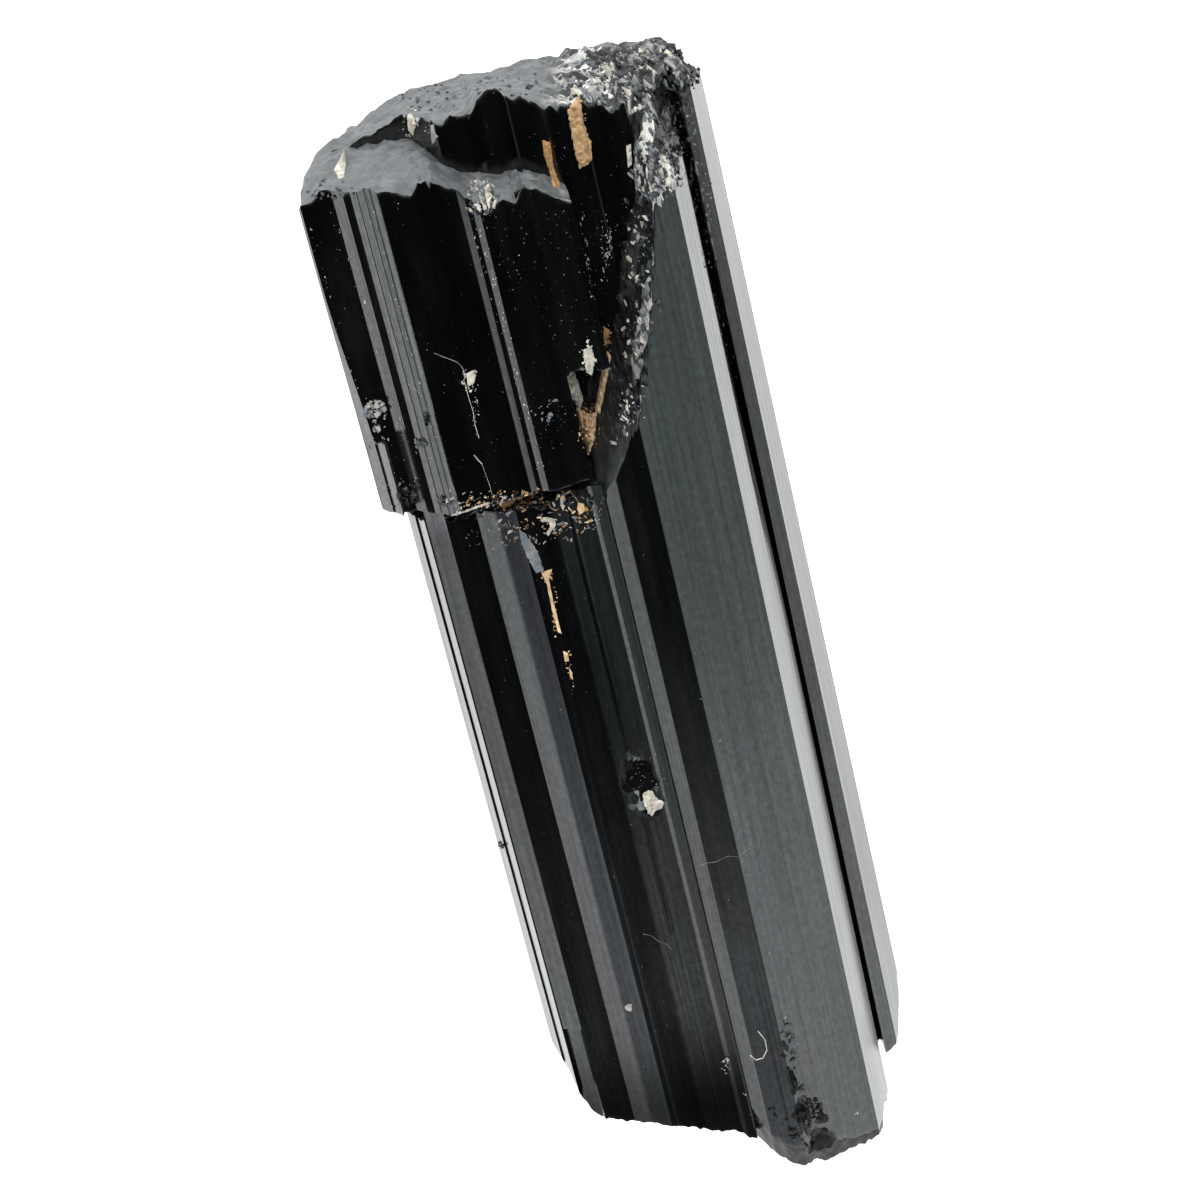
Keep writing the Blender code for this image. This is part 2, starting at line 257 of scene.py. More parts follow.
# Left of here the surface belongs to the front prism, with less film, and towards its bottom with
# no film and a painted shade that weakens its reflection. The block's left strips have a painted
# highlight that strengthens their reflection, as far as here.
FRONT_RIGHT = 1.36
FRONT_FILM = 0.35
FRONT_RIGHT_FILM = (0.4, -1.4, -1.1)
SIDE_FILM = 1.1
DARKER_BOTTOM_RUN = (-28.5, -22.0)
BOTTOM_PAINTED_SHADE = 0.72
BOTTOM_RIGHT_PAINTED_SHADE = (0.16, -2.5, -1.2)
STRIPS_END = (-5.46, -5.36)
STRIPS_ALONG = (7.0, 7.4)
STRIPS_UP = (11.4, 11.6)
STRIP_PAINTED_HIGHLIGHT = 0.6

# How grey the breaks are: at the top, less where crushed, on the others, and at the slant's foot.
CRUSHED_LESS_GREY = 0.8
DULL_GREY = 0.06
FOOT_GREY = 0.26

# How crushed: less in the corner, at the slant and more at its rim, and at the bottom.
CORNER_LESS_CRUSHED = 0.65
SLANT_CRUSH = (0.06, 0.6)
BOTTOM_CRUSH = 0.04

# Painted shade in and round the pit in the front prism, a dull dark patch: its middle and its
# reach.
PIT_SHADE_MIDDLE = (-0.15, -8.9, 12.6)
PIT_SHADE_REACH = (1.15, 2.0, 1.5)
PIT_SHADE_STOPS = [(0.20, 1.0), (0.42, 0.0)]

# Angles between faces below this are smoothed over.
SHARP_ANGLE = 16.0

# Noises of the materials: how fine, how far drawn out along the crystal, and their detail.
FILM_CLOUDS = (0.16, 2.0, 7.0)
MOTTLE = (4.0, 1.4, 4.0)
STREAKS = (6.0, 80.0, 4.0)
HAZE = (1.1, 7.0, 6.0)
TINGE = (0.5, 10.0, 3.0)
FINE_LINES = (9.0, 60.0, 3.0)
COARSE_LINES = (3.2, 25.0, 2.0)
BREAK_TONE = (1.3, 1.0, 6.0)
BREAK_GRAIN = (4.6, 1.0, 6.0)
PIT_SHADE_EDGE = (1.6, 1.2, 5.0)
GRAIN_SHARES = (0.45, 0.55)

# Shards of the crushed breaks: two sizes, each with its fineness, stretch and share.
SHARDS = [(1.3, 1.9, 0.6), (3.6, 1.5, 0.4)]
SHARD_TURN = (0.3, 0.2, 0.5)

# Relief of each noise: strength, and height in millimetres.
FINE_RELIEF = (0.22, 0.004)
COARSE_RELIEF = (0.2, 0.012)
TONE_RELIEF = (0.25, 0.12)
SHARD_RELIEF = (0.25, 0.08)
GRAIN_RELIEF = (0.35, 0.035)
CRUST_RELIEF = (0.6, 0.05)

# Colours and finishes, some of them by stops along a value.
IOR = 1.64
CLEAN_BLACK = (0.0005, 0.0006, 0.0006)
FILM_BLACK = (0.0125, 0.0130, 0.0136)
FILM_STOPS = [(0.36, 0.15), (0.66, 1.0)]
FILM_GRAIN_STOPS = [(0.36, 0.35), (0.64, 1.0)]
GLOSS_STOPS = [(0.3, 0.11), (0.7, 0.20)]
FILM_ROUGHNESS = 0.30
SHINE_STOPS = [(0.32, 0.34), (0.52, 0.50), (0.70, 0.68)]
TINGE_STOPS = [(0.35, (0.93, 1.0, 0.985)), (0.65, (0.99, 0.97, 1.0))]
# The dirt's finish and mosaic also make the painted shade round the pit.
DIRT_ROUGHNESS = 0.60
DIRT_SHINE = 0.02
DIRT_STOPS = [
    (0.50, 0.002), (0.66, (0.012, 0.014, 0.014)), (0.80, (0.08, 0.085, 0.085)),
    (0.95, (0.25, 0.25, 0.24)),
]
BREAK_BLACK = (0.0035, 0.0042, 0.0046)
BREAK_GREY = (0.084, 0.091, 0.094)
DUST_STOPS = [(0.30, 0.45), (0.68, 1.0)]
DUST_ROUGHNESS_STOPS = [(0.0, 0.42), (0.8, 0.62)]
DUST_SHINE_STOPS = [(0.0, 0.10), (0.6, 0.45)]
MOSAIC_STOPS = [
    (0.38, (0.003, 0.004, 0.005)), (0.46, (0.010, 0.012, 0.014)), (0.54, (0.06, 0.066, 0.07)),
    (0.64, (0.17, 0.18, 0.185)), (0.74, (0.42, 0.42, 0.39)), (0.88, (0.60, 0.58, 0.53)),
]
OCHRE_STOPS = [
    (0.0, (0.08, 0.04, 0.015)), (0.25, (0.25, 0.115, 0.03)), (0.45, (0.34, 0.19, 0.065)),
    (0.7, (0.44, 0.30, 0.16)), (1.0, (0.80, 0.60, 0.36)),
]
OCHRE_SPOTS = (0.12, 0.06, 0.02)
OCHRE_FINENESS = 2.6
PALE_STOPS = [
    (0.0, (0.60, 0.585, 0.54)), (0.2, (0.50, 0.46, 0.37)), (0.4, (0.33, 0.33, 0.31)),
    (0.58, (0.115, 0.125, 0.13)), (0.68, (0.07, 0.095, 0.13)), (0.82, (0.16, 0.10, 0.05)),
    (1.0, (0.38, 0.27, 0.15)),
]
PALE_SPOTS = (0.10, 0.095, 0.085)
PALE_FINENESS = 3.5
SPOT_STOPS = [(0.42, 0.0), (0.75, 0.8)]
SPOT_DETAIL = 5.0
CRUST_ROUGHNESS = 0.85
TINT_DRIFT = 0.7
DRIFT_FINENESS = 0.45
DRIFT_STRETCH = 1.5


def noise_values(x, z, size, seed):
    """One value of a smooth noise for each place."""
    return np.array([noise.noise(Vector((a / size, b / size, seed))) for a, b in zip(x, z)])


def between(profile, x):
    """Value at x on a line drawn through the profile's points."""
    return np.interp(x, [p[0] for p in profile], [p[1] for p in profile])


def rough(x, z, seed, grit=1.0):
    """Unevenness of a broken surface: the solids' lumps, and finer ones on them."""
    finer, share = BREAK_FINER
    big = noise_values(x, z, BREAK_SIZE, seed)
    small = noise_values(x, z, BREAK_SIZE / finer, seed + 9.0)
    level = BREAK_HEIGHT * (big + share * small)
    for size, height in BREAK_LUMPS:
        lump = noise_values(x, z, size, seed + 20.0 + size)
        level += grit * height * (np.abs(lump) * 2.0 - 0.5)
    return level


def rubble(x, y, z):
    """Crushed lumps of a slanting break, of one size whichever way the break lies."""
    places = list(zip(x, y, z))
    level = np.zeros(len(x))
    for size, height in RUBBLE_LUMPS:
        lump = [noise.noise(Vector(p) / size) for p in places]
        level += height * (np.abs(lump) * 2.0 - 0.4)
    return level


def bites(x, below, seed):
    """Depth of the bites out of a front rim, at a depth below it."""
    draw = random.Random(seed)
    level = np.zeros(len(x))
    for _ in range(BITES):
        middle = draw.uniform(BLOCK_OUTLINE[0][0], CORNER_LEFT)
        width, depth = draw.uniform(*BITE_WIDTHS), draw.uniform(*BITE_DEPTHS)
        level = np.maximum(level, depth * np.clip(1.0 - np.abs(x - middle) / width, 0.0, 1.0))
    return level * np.exp(-np.maximum(below, 0.0) / BITE_REACH)


def soft(value, low, high):
    """Nought below low, one above high, and smooth in between."""
    share = np.clip((value - low) / (high - low), 0.0, 1.0)
    return share * share * (3.0 - 2.0 * share)


def back_top(x, z):
    share = (z - BACK_HEIGHT) / (FRONT_HEIGHT - BACK_HEIGHT)
    front, back = between(BACK_TOP_FRONT, x), between(BACK_TOP_BACK, x)
    level = HALF_LENGTH_UP + back + (front - back) * share
    height, start = CORNER_START
    corner = np.minimum(level, start + CORNER_BACK * (height - z))
    grit = SMOOTH_GRIT + (CRUSHED_GRIT - SMOOTH_GRIT) * soft(x, *CRUSHED_FROM)
    bitten = bites(x, BACK_RIM - z, 31)
    return np.where(x > CORNER_LEFT, corner, level) + rough(x, z, 1.0, grit) - bitten


def broken_end(level, profile, seed, rise=0.0, front=0.0, share=1.0):
    """A surface at this level, with a profile across it and a rise going back."""
    def surface(x, z):
        return between(profile, x) + level + rise * (front - z) + share * rough(x, z, seed)

    return surface


def block_top(x, z):
    corner_left, corner_width = BLOCK_CORNER
    away = np.minimum((x - corner_left) / corner_width, 1.0)
    rise = BLOCK_TOP_RISE * (BLOCK_FRONT - z) * away
    level = HALF_LENGTH_UP + between(BLOCK_TOP, x) + rise
    return level + rough(x, z, 6.0, SMOOTH_GRIT) - bites(x, BLOCK_RIM - z, 32)


def side_front(x):
    """Height of the right prism's front, which its outline gives first."""
    return between(SIDE_OUTLINE[:5], x)


def side_top(x, z):
    slant = between(SLANT_FRONT, x) + SLANT_BACK * (side_front(x) - z)
    terrace_z, terrace_y = TERRACE_START
    terrace = terrace_y + between(TERRACE_BACK, x) * (terrace_z - z)
    level = np.minimum(slant, terrace)
    top = HALF_LENGTH_UP + between(BACK_TOP_FRONT, x) - TERRACE_BELOW_TOP
    level = np.minimum(level, top)
    steep = np.where((slant < terrace) & (slant < top), 1.0, FLAT_RUBBLE)
    lumps = rubble(x, level, z) * steep * soft(level, *RUBBLE_FROM)
    return level + rough(x, z, 1.0, SLANT_GRIT) + lumps


def side_bottom(x, z):
    edge = between(SIDE_BOTTOM_FRONT, x) - CHIP_BACK * np.maximum(side_front(x) - z, 0.0)
    low = between(SIDE_BOTTOM, x) + BOTTOM_RISE * (PRISM_FRONT - z)
    return np.maximum(edge, low) - HALF_LENGTH_DOWN + rough(x, z, 9.0)


def striated_rim(outline, seed):
    """Points round the outline. Each has a place, an outward direction, and the two striation
    edges that it lies between, as (number of the edge, share of the way to the next)."""
    draw = random.Random(seed)
    places, outward, steps, depths = [], [], [], []
    area = sum(a[0] * b[1] - b[0] * a[1] for a, b in zip(outline, outline[1:] + outline[:1]))
    turn = 1.0 if area > 0 else -1.0
    for start, end in zip(outline, outline[1:] + outline[:1]):
        start, end = Vector(start), Vector(end)
        along = end - start
        normal = Vector((along.y, -along.x)).normalized() * turn
        spacing = FINE if normal.y > FACES_UP else COARSE
        count = int(along.length / STRIA_STEP) if spacing == FINE else 0
        marks = [0.0] + sorted(draw.uniform(*STRIA_PLACES) for _ in range(count)) + [1.0]
        for mark, following in zip(marks, marks[1:]):
            depths.append(0.0 if mark == 0.0 else draw.uniform(-1.0, 1.0))
            pieces = max(1, round((following - mark) * along.length / spacing))
            for i in range(pieces):
                share = i / pieces
                places.append(start.lerp(end, mark + (following - mark) * share))
                outward.append(normal)
                steps.append((len(depths) - 1, share))
    return places, outward, steps, depths


def stria_offset(steps, depths, y, seed):
    """How far each rim point lies off its outline at its place along the length."""
    draw = random.Random(seed + 0.5)
    waves = [(draw.uniform(*STRIA_WANDER), draw.uniform(*STRIA_PHASES)) for _ in depths]
    depth = np.array(depths + depths[:1])
    length, phase = np.array(waves + waves[:1]).T
    edge = np.array([s[0] for s in steps])
    share = np.array([s[1] for s in steps])
    steady, swing = STRIA_SHARES

    def at(number):
        return depth[number] * (steady + swing * np.sin(y / length[number] + phase[number]))

    return STRIA_DEPTH * (at(edge) * (1.0 - share) + at(edge + 1) * share)


def thickness(place):
    """For each rim point, how near the rim comes back to it."""
    step = np.linalg.norm(np.roll(place, -1, axis=0) - place, axis=1)
    run = np.concatenate([[0.0], np.cumsum(step)])
    apart = np.abs(run[:-1, None] - run[None, :-1])
    apart = np.minimum(apart, run[-1] - apart)
    away = np.linalg.norm(place[:, None] - place[None], axis=2)
    return np.where(apart < THICKNESS_RUN, FAR, away).min(axis=1)


def is_inside(points, rim):
    """For each point, whether it is inside the rim."""
    x, z = points[:, 0][:, None], points[:, 1][:, None]
    ax, az = rim[:, 0][None], rim[:, 1][None]
    bx, bz = np.roll(ax, -1), np.roll(az, -1)
    crossed = (az > z) != (bz > z)
    rise = np.where(bz == az, 1.0, bz - az)
    left = x < ax + (bx - ax) * (z - az) / rise
    return (crossed & left).sum(axis=1) % 2 == 1


def rim_distance(points, rim):
    """For each point, how far the rim is."""
    start, end = rim, np.roll(rim, -1, axis=0)
    nearest = np.full(len(points), FAR)
    for a, b in zip(start, end):
        along = b - a
        share = np.clip((points - a) @ along / max(along @ along, 1e-12), 0.0, 1.0)
        away = np.linalg.norm(points - a - share[:, None] * along, axis=1)
        nearest = np.minimum(nearest, away)
    return nearest


def fill_points(rim, cell, seed):
    """Staggered points inside the rim, out of line as broken faces are."""
    draw = np.random.RandomState(seed)
    low, high = rim.min(axis=0), rim.max(axis=0)
    columns, rows = ((high - low) / cell).astype(int) + 1
    column, row = np.meshgrid(np.arange(columns), np.arange(rows))
    stray = draw.uniform(-CELL_STRAY, CELL_STRAY, (2, rows, columns))
    x = low[0] + (column + 0.5 * (row % 2) + stray[0]) * cell[0]
    z = low[1] + (row + stray[1]) * cell[1]
    points = np.stack([x.ravel(), z.ravel()], axis=1)
    points = points[is_inside(points, rim)]
    return points[rim_distance(points, rim) > 0.5 * min(cell)]


def filled(rim, inner):
    """Triangles over the rim's points and the inner ones."""
    points = [Vector(p) for p in np.vstack([rim, inner]).tolist()]
    edges = [(i, (i + 1) % len(rim)) for i in range(len(rim))]
    inside_only = 1
    return delaunay_2d_cdt(points, edges, [], inside_only, SAME_PLACE)[2]


def narrowed(place, flat, y):
    """The block's outline at y, with its left facet narrower towards the top."""
    (left, low), (right, high) = BLOCK_OUTLINE[:2]
    on_facet = (place[:, 0] < right + NARROW_SLACK) & (place[:, 1] > low - NARROW_SLACK)
    share = np.where(on_facet, 1.0 - NARROWING * soft(y, *NARROW_RUN), 1.0)
    flat[:, 0] = left + (flat[:, 0] - left) * share
    flat[:, 1] = high + (flat[:, 1] - high) * share
    return flat


def drawn_in(place, flat, y):
    """The right prism's outline at y, with its right face steeper towards the top."""
    left, right = SIDE_DRAWN_FROM, SIDE_OUTLINE[4][0]
    share = np.clip((place[:, 0] - left) / (right - left), 0.0, 1.0)
    flat[:, 0] -= SIDE_DRAWN_IN * share * soft(y, *SIDE_DRAWN_RUN)
    return flat


def prism(name, outline, bottom, top, cells, seed, bend=None):
    """A closed striated prism along Y whose two ends follow the broken surfaces. The cells
    are those of the mesh over its bottom and its top."""
    places, outward, steps, depths = striated_rim(outline, seed)
    count = len(places)
    place = np.array([tuple(p) for p in places])
    normal = np.array([tuple(n) for n in outward])
    for _ in range(CORNER_ROUNDING):
        normal = normal + np.roll(normal, 1, axis=0) + np.roll(normal, -1, axis=0)
        normal /= np.linalg.norm(normal, axis=1)[:, None]
    room = ROOM_SHARE * thickness(place)
    low_y = bottom(place[:, 0], place[:, 1])
    high_y = top(place[:, 0], place[:, 1])

    span = (high_y - low_y).mean()
    middle_rows = max(2, round((span - 2 * END_ROWS[-1]) / MIDDLE_ROW))
    levels = [low_y + d for d in END_ROWS]
    inner_low, inner_high = low_y + END_ROWS[-1], high_y - END_ROWS[-1]
    for row in range(1, middle_rows):
        levels.append(inner_low + (inner_high - inner_low) * row / middle_rows)
    levels += [high_y - d for d in reversed(END_ROWS)]

    rings = []
    for y in levels:
        end = np.minimum(y - low_y, high_y - y)
        worn = CRUMBLE * np.exp(-end / CRUMBLE_REACH)
        uneven = noise_values(place[:, 0] + place[:, 1], y, CRUMBLE_SIZE, seed)
        worn = np.minimum(worn * (1.0 + CRUMBLE_UNEVEN * uneven), room)
        offset = stria_offset(steps, depths, y, seed) - worn
        flat = place + normal * offset[:, None]
        if bend is not None:
            flat = bend(place, flat, y)
        rings.append(np.column_stack([flat[:, 0], y, flat[:, 1]]))

    caps = []
    for ring, surface, cell in ((rings[0], bottom, cells[0]), (rings[-1], top, cells[1])):
        rim = ring[:, [0, 2]]
        inner = fill_points(rim, np.array(cell), seed)
        level = surface(inner[:, 0], inner[:, 1])
        caps.append((np.column_stack([inner[:, 0], level, inner[:, 1]]), filled(rim, inner)))
    verts = [rings[0], caps[0][0]] + rings[1:-1] + [rings[-1], caps[1][0]]
    starts = np.cumsum([0] + [len(v) for v in verts])

    triangles = []
    for (_, faces), ring_start, inner_start in (
            (caps[0], starts[0], starts[1]), (caps[1], starts[-3], starts[-2])):
        triangles += [[ring_start + i if i < count else inner_start + i - count for i in face]
                      for face in faces]
    broken = [1] * len(triangles)
    ring_starts = [starts[0]] + list(starts[2:-2])
    for lower, upper in zip(ring_starts, ring_starts[1:]):
        for i in range(count):
            j = (i + 1) % count
            triangles.append((lower + i, lower + j, upper + j))
            triangles.append((lower + i, upper + j, upper + i))
    broken += [0] * (len(triangles) - len(broken))
    points = np.vstack(verts)
    lean_x, lean_y = LEAN_FROM
    points[:, 0] -= LEAN * (points[:, 1] - lean_y) * np.maximum(points[:, 0] - lean_x, 0.0)
    return to_object(name, points, triangles, broken)


def placed(name, data):
    """An object with this data, put in the scene."""
    thing = bpy.data.objects.new(name, data)
    bpy.context.scene.collection.objects.link(thing)
    return thing


def to_object(name, points, triangles, groups):
    """An object of these points in millimetres, moved to where the model is."""
    points = (points - np.array(MIDDLE)) * MM
    mesh = bpy.data.meshes.new(name)
    mesh.from_pydata(points.tolist(), [], [[int(i) for i in t] for t in triangles])
    mesh.polygons.foreach_set("material_index", groups)
    work = bmesh.new()
    work.from_mesh(mesh)
    bmesh.ops.recalc_face_normals(work, faces=work.faces)
    work.to_mesh(mesh)
    work.free()
    return placed(name, mesh)


def points_and_faces(shape):
    """The corners of a shape and the faces between them. The shape is used up."""
    points = np.array([tuple(v.co) for v in shape.verts])
    faces = [[v.index for v in f.verts] for f in shape.faces]
    shape.free()
    return points, faces


def lumpy_pits():
    """The pits, as lumpy closed balls in one object."""
    shape = bmesh.new()
    bmesh.ops.create_icosphere(shape, subdivisions=PIT_FINENESS, radius=1.0)
    ball, ball_faces = points_and_faces(shape)
    points, triangles = [], []
    for number, (place, size) in enumerate(PITS):
        swell = [noise.noise(Vector(c) * PIT_LUMPS + Vector(place)) for c in ball.tolist()]
        stretch = 1.0 + PIT_ROUGHNESS * np.array(swell)
        points.append(ball * np.array(size) * stretch[:, None] + np.array(place))
        triangles += (np.array(ball_faces) + number * len(ball)).tolist()
    return to_object("pits", np.vstack(points), triangles, [1] * len(triangles))


def combine(body, other, operation):
    """Join another closed mesh to the body, or take it out, for good."""
    step = body.modifiers.new(other.name, 'BOOLEAN')
    step.object = other
    step.operation = operation
    step.solver = 'MANIFOLD'
    graph = bpy.context.evaluated_depsgraph_get()
    result = bpy.data.meshes.new_from_object(body.evaluated_get(graph))
    body.modifiers.clear()
    old = body.data
    body.data = result
    bpy.data.meshes.remove(old)
    bpy.data.objects.remove(other, do_unlink=True)


def build_crystal():
    plain = [(0.0, 0.0)]
    ledge = broken_end(BLOCK_LEDGE, BLOCK_BOTTOM, 7.0, share=LEDGE_SHARE)
    body, *others = [
        prism("tourmaline", BACK_OUTLINE,
              broken_end(-HALF_LENGTH_DOWN, BACK_BOTTOM, 2.0, BOTTOM_RISE, FRONT_HEIGHT),
              back_top, [(0.5, 0.5), (0.15, 0.17)], 11),
        prism("front", FRONT_OUTLINE,
              broken_end(-HALF_LENGTH_DOWN, FRONT_BOTTOM, 4.0, BOTTOM_RISE, PRISM_FRONT),
              broken_end(BLOCK_LEDGE - FRONT_BELOW_LEDGE, plain, 3.0),
              [(0.2, 0.2), (0.5, 0.5)], 12),
        prism("rib", RIB_OUTLINE, broken_end(RIB_END, plain, 5.0, share=LEDGE_SHARE),
              broken_end(BLOCK_LEDGE + RIB_ABOVE_LEDGE, plain, 5.0, share=0.0),
              [(0.15, 0.15), (0.5, 0.5)], 13),
        prism("block", BLOCK_OUTLINE, ledge, block_top, [(0.3, 0.3), (0.13, 0.13)], 14, narrowed),
        prism("facet", FACET_OUTLINE, ledge, broken_end(FACET_TOP, plain, 7.0),
              [(0.3, 0.3), (0.3, 0.3)], 17),
        prism("wing", WING_OUTLINE, broken_end(CLEFT_MOUTH, WING_BOTTOM, 8.0),
              broken_end(HALF_LENGTH_UP, WING_TOP, 6.0, BLOCK_TOP_RISE, BLOCK_FRONT),
              [(0.15, 0.15), (0.12, 0.12)], 15),
        prism("side", SIDE_OUTLINE, side_bottom, side_top, [(0.16, 0.12), (0.05, 0.10)], 16,
              drawn_in),
    ]
    pits = lumpy_pits()
    black = [glassy_black(), broken_black()]
    for part in (body, *others, pits):
        for material in black:
            part.data.materials.append(material)
    for other in others:
        combine(body, other, 'UNION')
    combine(body, pits, 'DIFFERENCE')
    body.data.shade_smooth()
    body.data.set_sharp_from_angle(angle=math.radians(SHARP_ANGLE))
    return body


def rgba(colour):
    """The four numbers of a colour, or of a grey that is given as one number."""
    return (*colour, 1.0) if isinstance(colour, tuple) else (colour, colour, colour, 1.0)


class Graph:
    """The shader nodes of a material or of the world."""

    def __init__(self, owner):
        owner.use_nodes = True
        self.nodes, self.links = owner.node_tree.nodes, owner.node_tree.links

    def put(self, node, inputs):
        """Set each input to a value, or link it to another node's output."""
        for name, value in inputs.items():
            if isinstance(value, bpy.types.NodeSocket):
                self.links.new(value, node.inputs[name])
            else:
                node.inputs[name].default_value = value

    def node(self, kind, inputs):
        node = self.nodes.new('ShaderNode' + kind)
        self.put(node, inputs)
        return node

    def math(self, operation, *values):
        node = self.nodes.new('ShaderNodeMath')
        node.operation = operation
        self.put(node, dict(enumerate(values)))
        return node.outputs["Value"]

    def product(self, first, *others):
        for other in others:
            first = self.math('MULTIPLY', first, other)
        return first

    def vector(self, operation, inputs, output="Vector"):
        node = self.nodes.new('ShaderNodeVectorMath')
        node.operation = operation
        self.put(node, inputs)
        return node.outputs[output]

    def ramp(self, value, stops):
        """Colours, or greys where a stop holds one number, picked along a value."""
        node = self.node('ValToRGB', {"Fac": value})
        elements = node.color_ramp.elements
        while len(elements) < len(stops):
            elements.new(0.5)
        for element, (place, colour) in zip(elements, stops):
            element.position = place
            element.color = rgba(colour)
        return node.outputs["Color"]

    def mix(self, share, *colours):
        """The first colour at share nought and the second at one."""
        node = self.nodes.new('ShaderNodeMix')
        node.data_type = 'RGBA'
        self.put(node, {"Factor": share})
        sockets = [i for i in node.inputs if i.type == 'RGBA']
        for socket, colour in zip(sockets, colours):
            if isinstance(colour, bpy.types.NodeSocket):
                self.links.new(colour, socket)
            else:
                socket.default_value = rgba(colour)
        return [o for o in node.outputs if o.type == 'RGBA'][0]


class Look(Graph):
    """A material, with noises in the crystal's own millimetres."""

    def __init__(self, name):
        self.material = bpy.data.materials.new(name)
        super().__init__(self.material)
        self.shader = self.nodes["Principled BSDF"]
        self.place = self.nodes.new('ShaderNodeTexCoord').outputs["Object"]

    def drawn_out(self, place, fineness, stretch):
        scale = (fineness / MM, fineness / stretch / MM, fineness / MM)
        return self.node('Mapping', {"Vector": place, "Scale": scale}).outputs["Vector"]

    def clouds(self, fineness, stretch, detail):
        """A noise drawn out along the crystal's length."""
        place = self.drawn_out(self.place, fineness, stretch)
        return self.node('TexNoise', {
            "Vector": place, "Scale": 1.0, "Detail": detail}).outputs["Fac"]

    def shards(self, fineness, stretch):
        """One value for each of many angular cells, drawn out aslant the crystal's length."""
        turned = self.node('Mapping', {"Vector": self.place, "Rotation": SHARD_TURN})
        place = self.drawn_out(turned.outputs["Vector"], fineness, stretch)
        cells = self.node('TexVoronoi', {"Vector": place, "Scale": 1.0})
        split = self.node('SeparateColor', {"Color": cells.outputs["Color"]})
        return split.outputs["Red"]

    def crushed(self, stops):
        """A mosaic of shards from black to pale, and the value that it goes by."""
        (fineness, stretch, share), small = SHARDS
        mosaic = self.product(self.shards(*small[:2]), small[2])
        mosaic = self.math('MULTIPLY_ADD', self.shards(fineness, stretch), share, mosaic)
        return self.ramp(mosaic, stops), mosaic

    def bump(self, height, relief, under=None):
        strength, distance = relief
        inputs = {"Height": height, "Strength": strength, "Distance": distance * MM}
        if under is not None:
            inputs["Normal"] = under
        return self.node('Bump', inputs).outputs["Normal"]

    def marked(self, name):
        """A value that the mesh holds at each of its points."""
        node = self.node('Attribute', {})
        node.attribute_name = name
        return node.outputs["Fac"]

    def pit_shade(self):
        """One round the pit, where shade is painted as a dull dark patch, and nought beyond its
        ragged reach.
        """
        middle = (Vector(PIT_SHADE_MIDDLE) - Vector(MIDDLE)) * MM
        away = self.vector('SUBTRACT', {0: self.place, 1: middle})
        away = self.vector('DIVIDE', {0: away, 1: Vector(PIT_SHADE_REACH) * MM})
        away = self.vector('LENGTH', {0: away}, "Value")
        away = self.math('MULTIPLY_ADD', self.clouds(*PIT_SHADE_EDGE), -1.0, away)
        return self.ramp(away, PIT_SHADE_STOPS)


def glassy_black():
    """Glassy prism faces: nearly black, finely striated, hazy lower down, with a painted highlight
    and painted shade in their reflection, and painted shade round the pit.
    """
    look = Look("tourmaline_glassy")
    mottled, streaked = GRAIN_SHARES
    grain = look.product(look.clouds(*STREAKS), streaked)
    grain = look.math('MULTIPLY_ADD', look.clouds(*MOTTLE), mottled, grain)
    film = look.product(look.ramp(look.clouds(*FILM_CLOUDS), FILM_STOPS), look.marked("film"),
                        look.ramp(grain, FILM_GRAIN_STOPS))
    # The groove's dirt, and the painted shade round the pit: a dull dark mosaic in place of the
    # glass.
    dirt = look.math('ADD', look.pit_shade(), look.marked("dirt"))
    clean = look.mix(film, CLEAN_BLACK, FILM_BLACK)
    hazy = look.mix(film, look.ramp(look.clouds(*HAZE), GLOSS_STOPS), FILM_ROUGHNESS)
    # The strength of the reflection: a painted highlight on the block's strips and a painted shade
    # at the front prism's bottom, over a random sheen.
    sheen_painted_highlight_and_shade = look.product(look.marked("sheen_painted_highlight_and_shade"), look.ramp(grain, SHINE_STOPS))
    lines = look.bump(look.clouds(*FINE_LINES), FINE_RELIEF)
    look.put(look.shader, {
        "Base Color": look.mix(dirt, clean, look.crushed(DIRT_STOPS)[0]),
        "Roughness": look.mix(dirt, hazy, DIRT_ROUGHNESS),
        "Specular IOR Level": look.mix(dirt, sheen_painted_highlight_and_shade, DIRT_SHINE),
        "Specular Tint": look.ramp(look.clouds(*TINGE), TINGE_STOPS),
        "IOR": IOR,
        "Normal": look.bump(look.clouds(*COARSE_LINES), COARSE_RELIEF, lines),
    })
    return look.material


def broken_black():
    """Breaks: dark and dull, dusted grey at the top, with pale specks where crushed."""
    look = Look("tourmaline_broken")
    tone = look.clouds(*BREAK_TONE)
    dust = look.product(look.ramp(tone, DUST_STOPS), look.marked("grey"))
    plain = look.mix(dust, BREAK_BLACK, BREAK_GREY)
    crushed, mosaic = look.crushed(MOSAIC_STOPS)
    uneven = look.bump(mosaic, SHARD_RELIEF, look.bump(tone, TONE_RELIEF))
    look.put(look.shader, {
        "Base Color": look.mix(look.marked("crush"), plain, crushed),
        "Roughness": look.ramp(dust, DUST_ROUGHNESS_STOPS),
        # Round the pit the breaks lose all shine: painted shade.
        "Specular IOR Level": look.mix(look.pit_shade(), look.ramp(dust, DUST_SHINE_STOPS), 0.0),
        "IOR": IOR,
        "Normal": look.bump(look.clouds(*BREAK_GRAIN), GRAIN_RELIEF, uneven),
    })
    return look.material


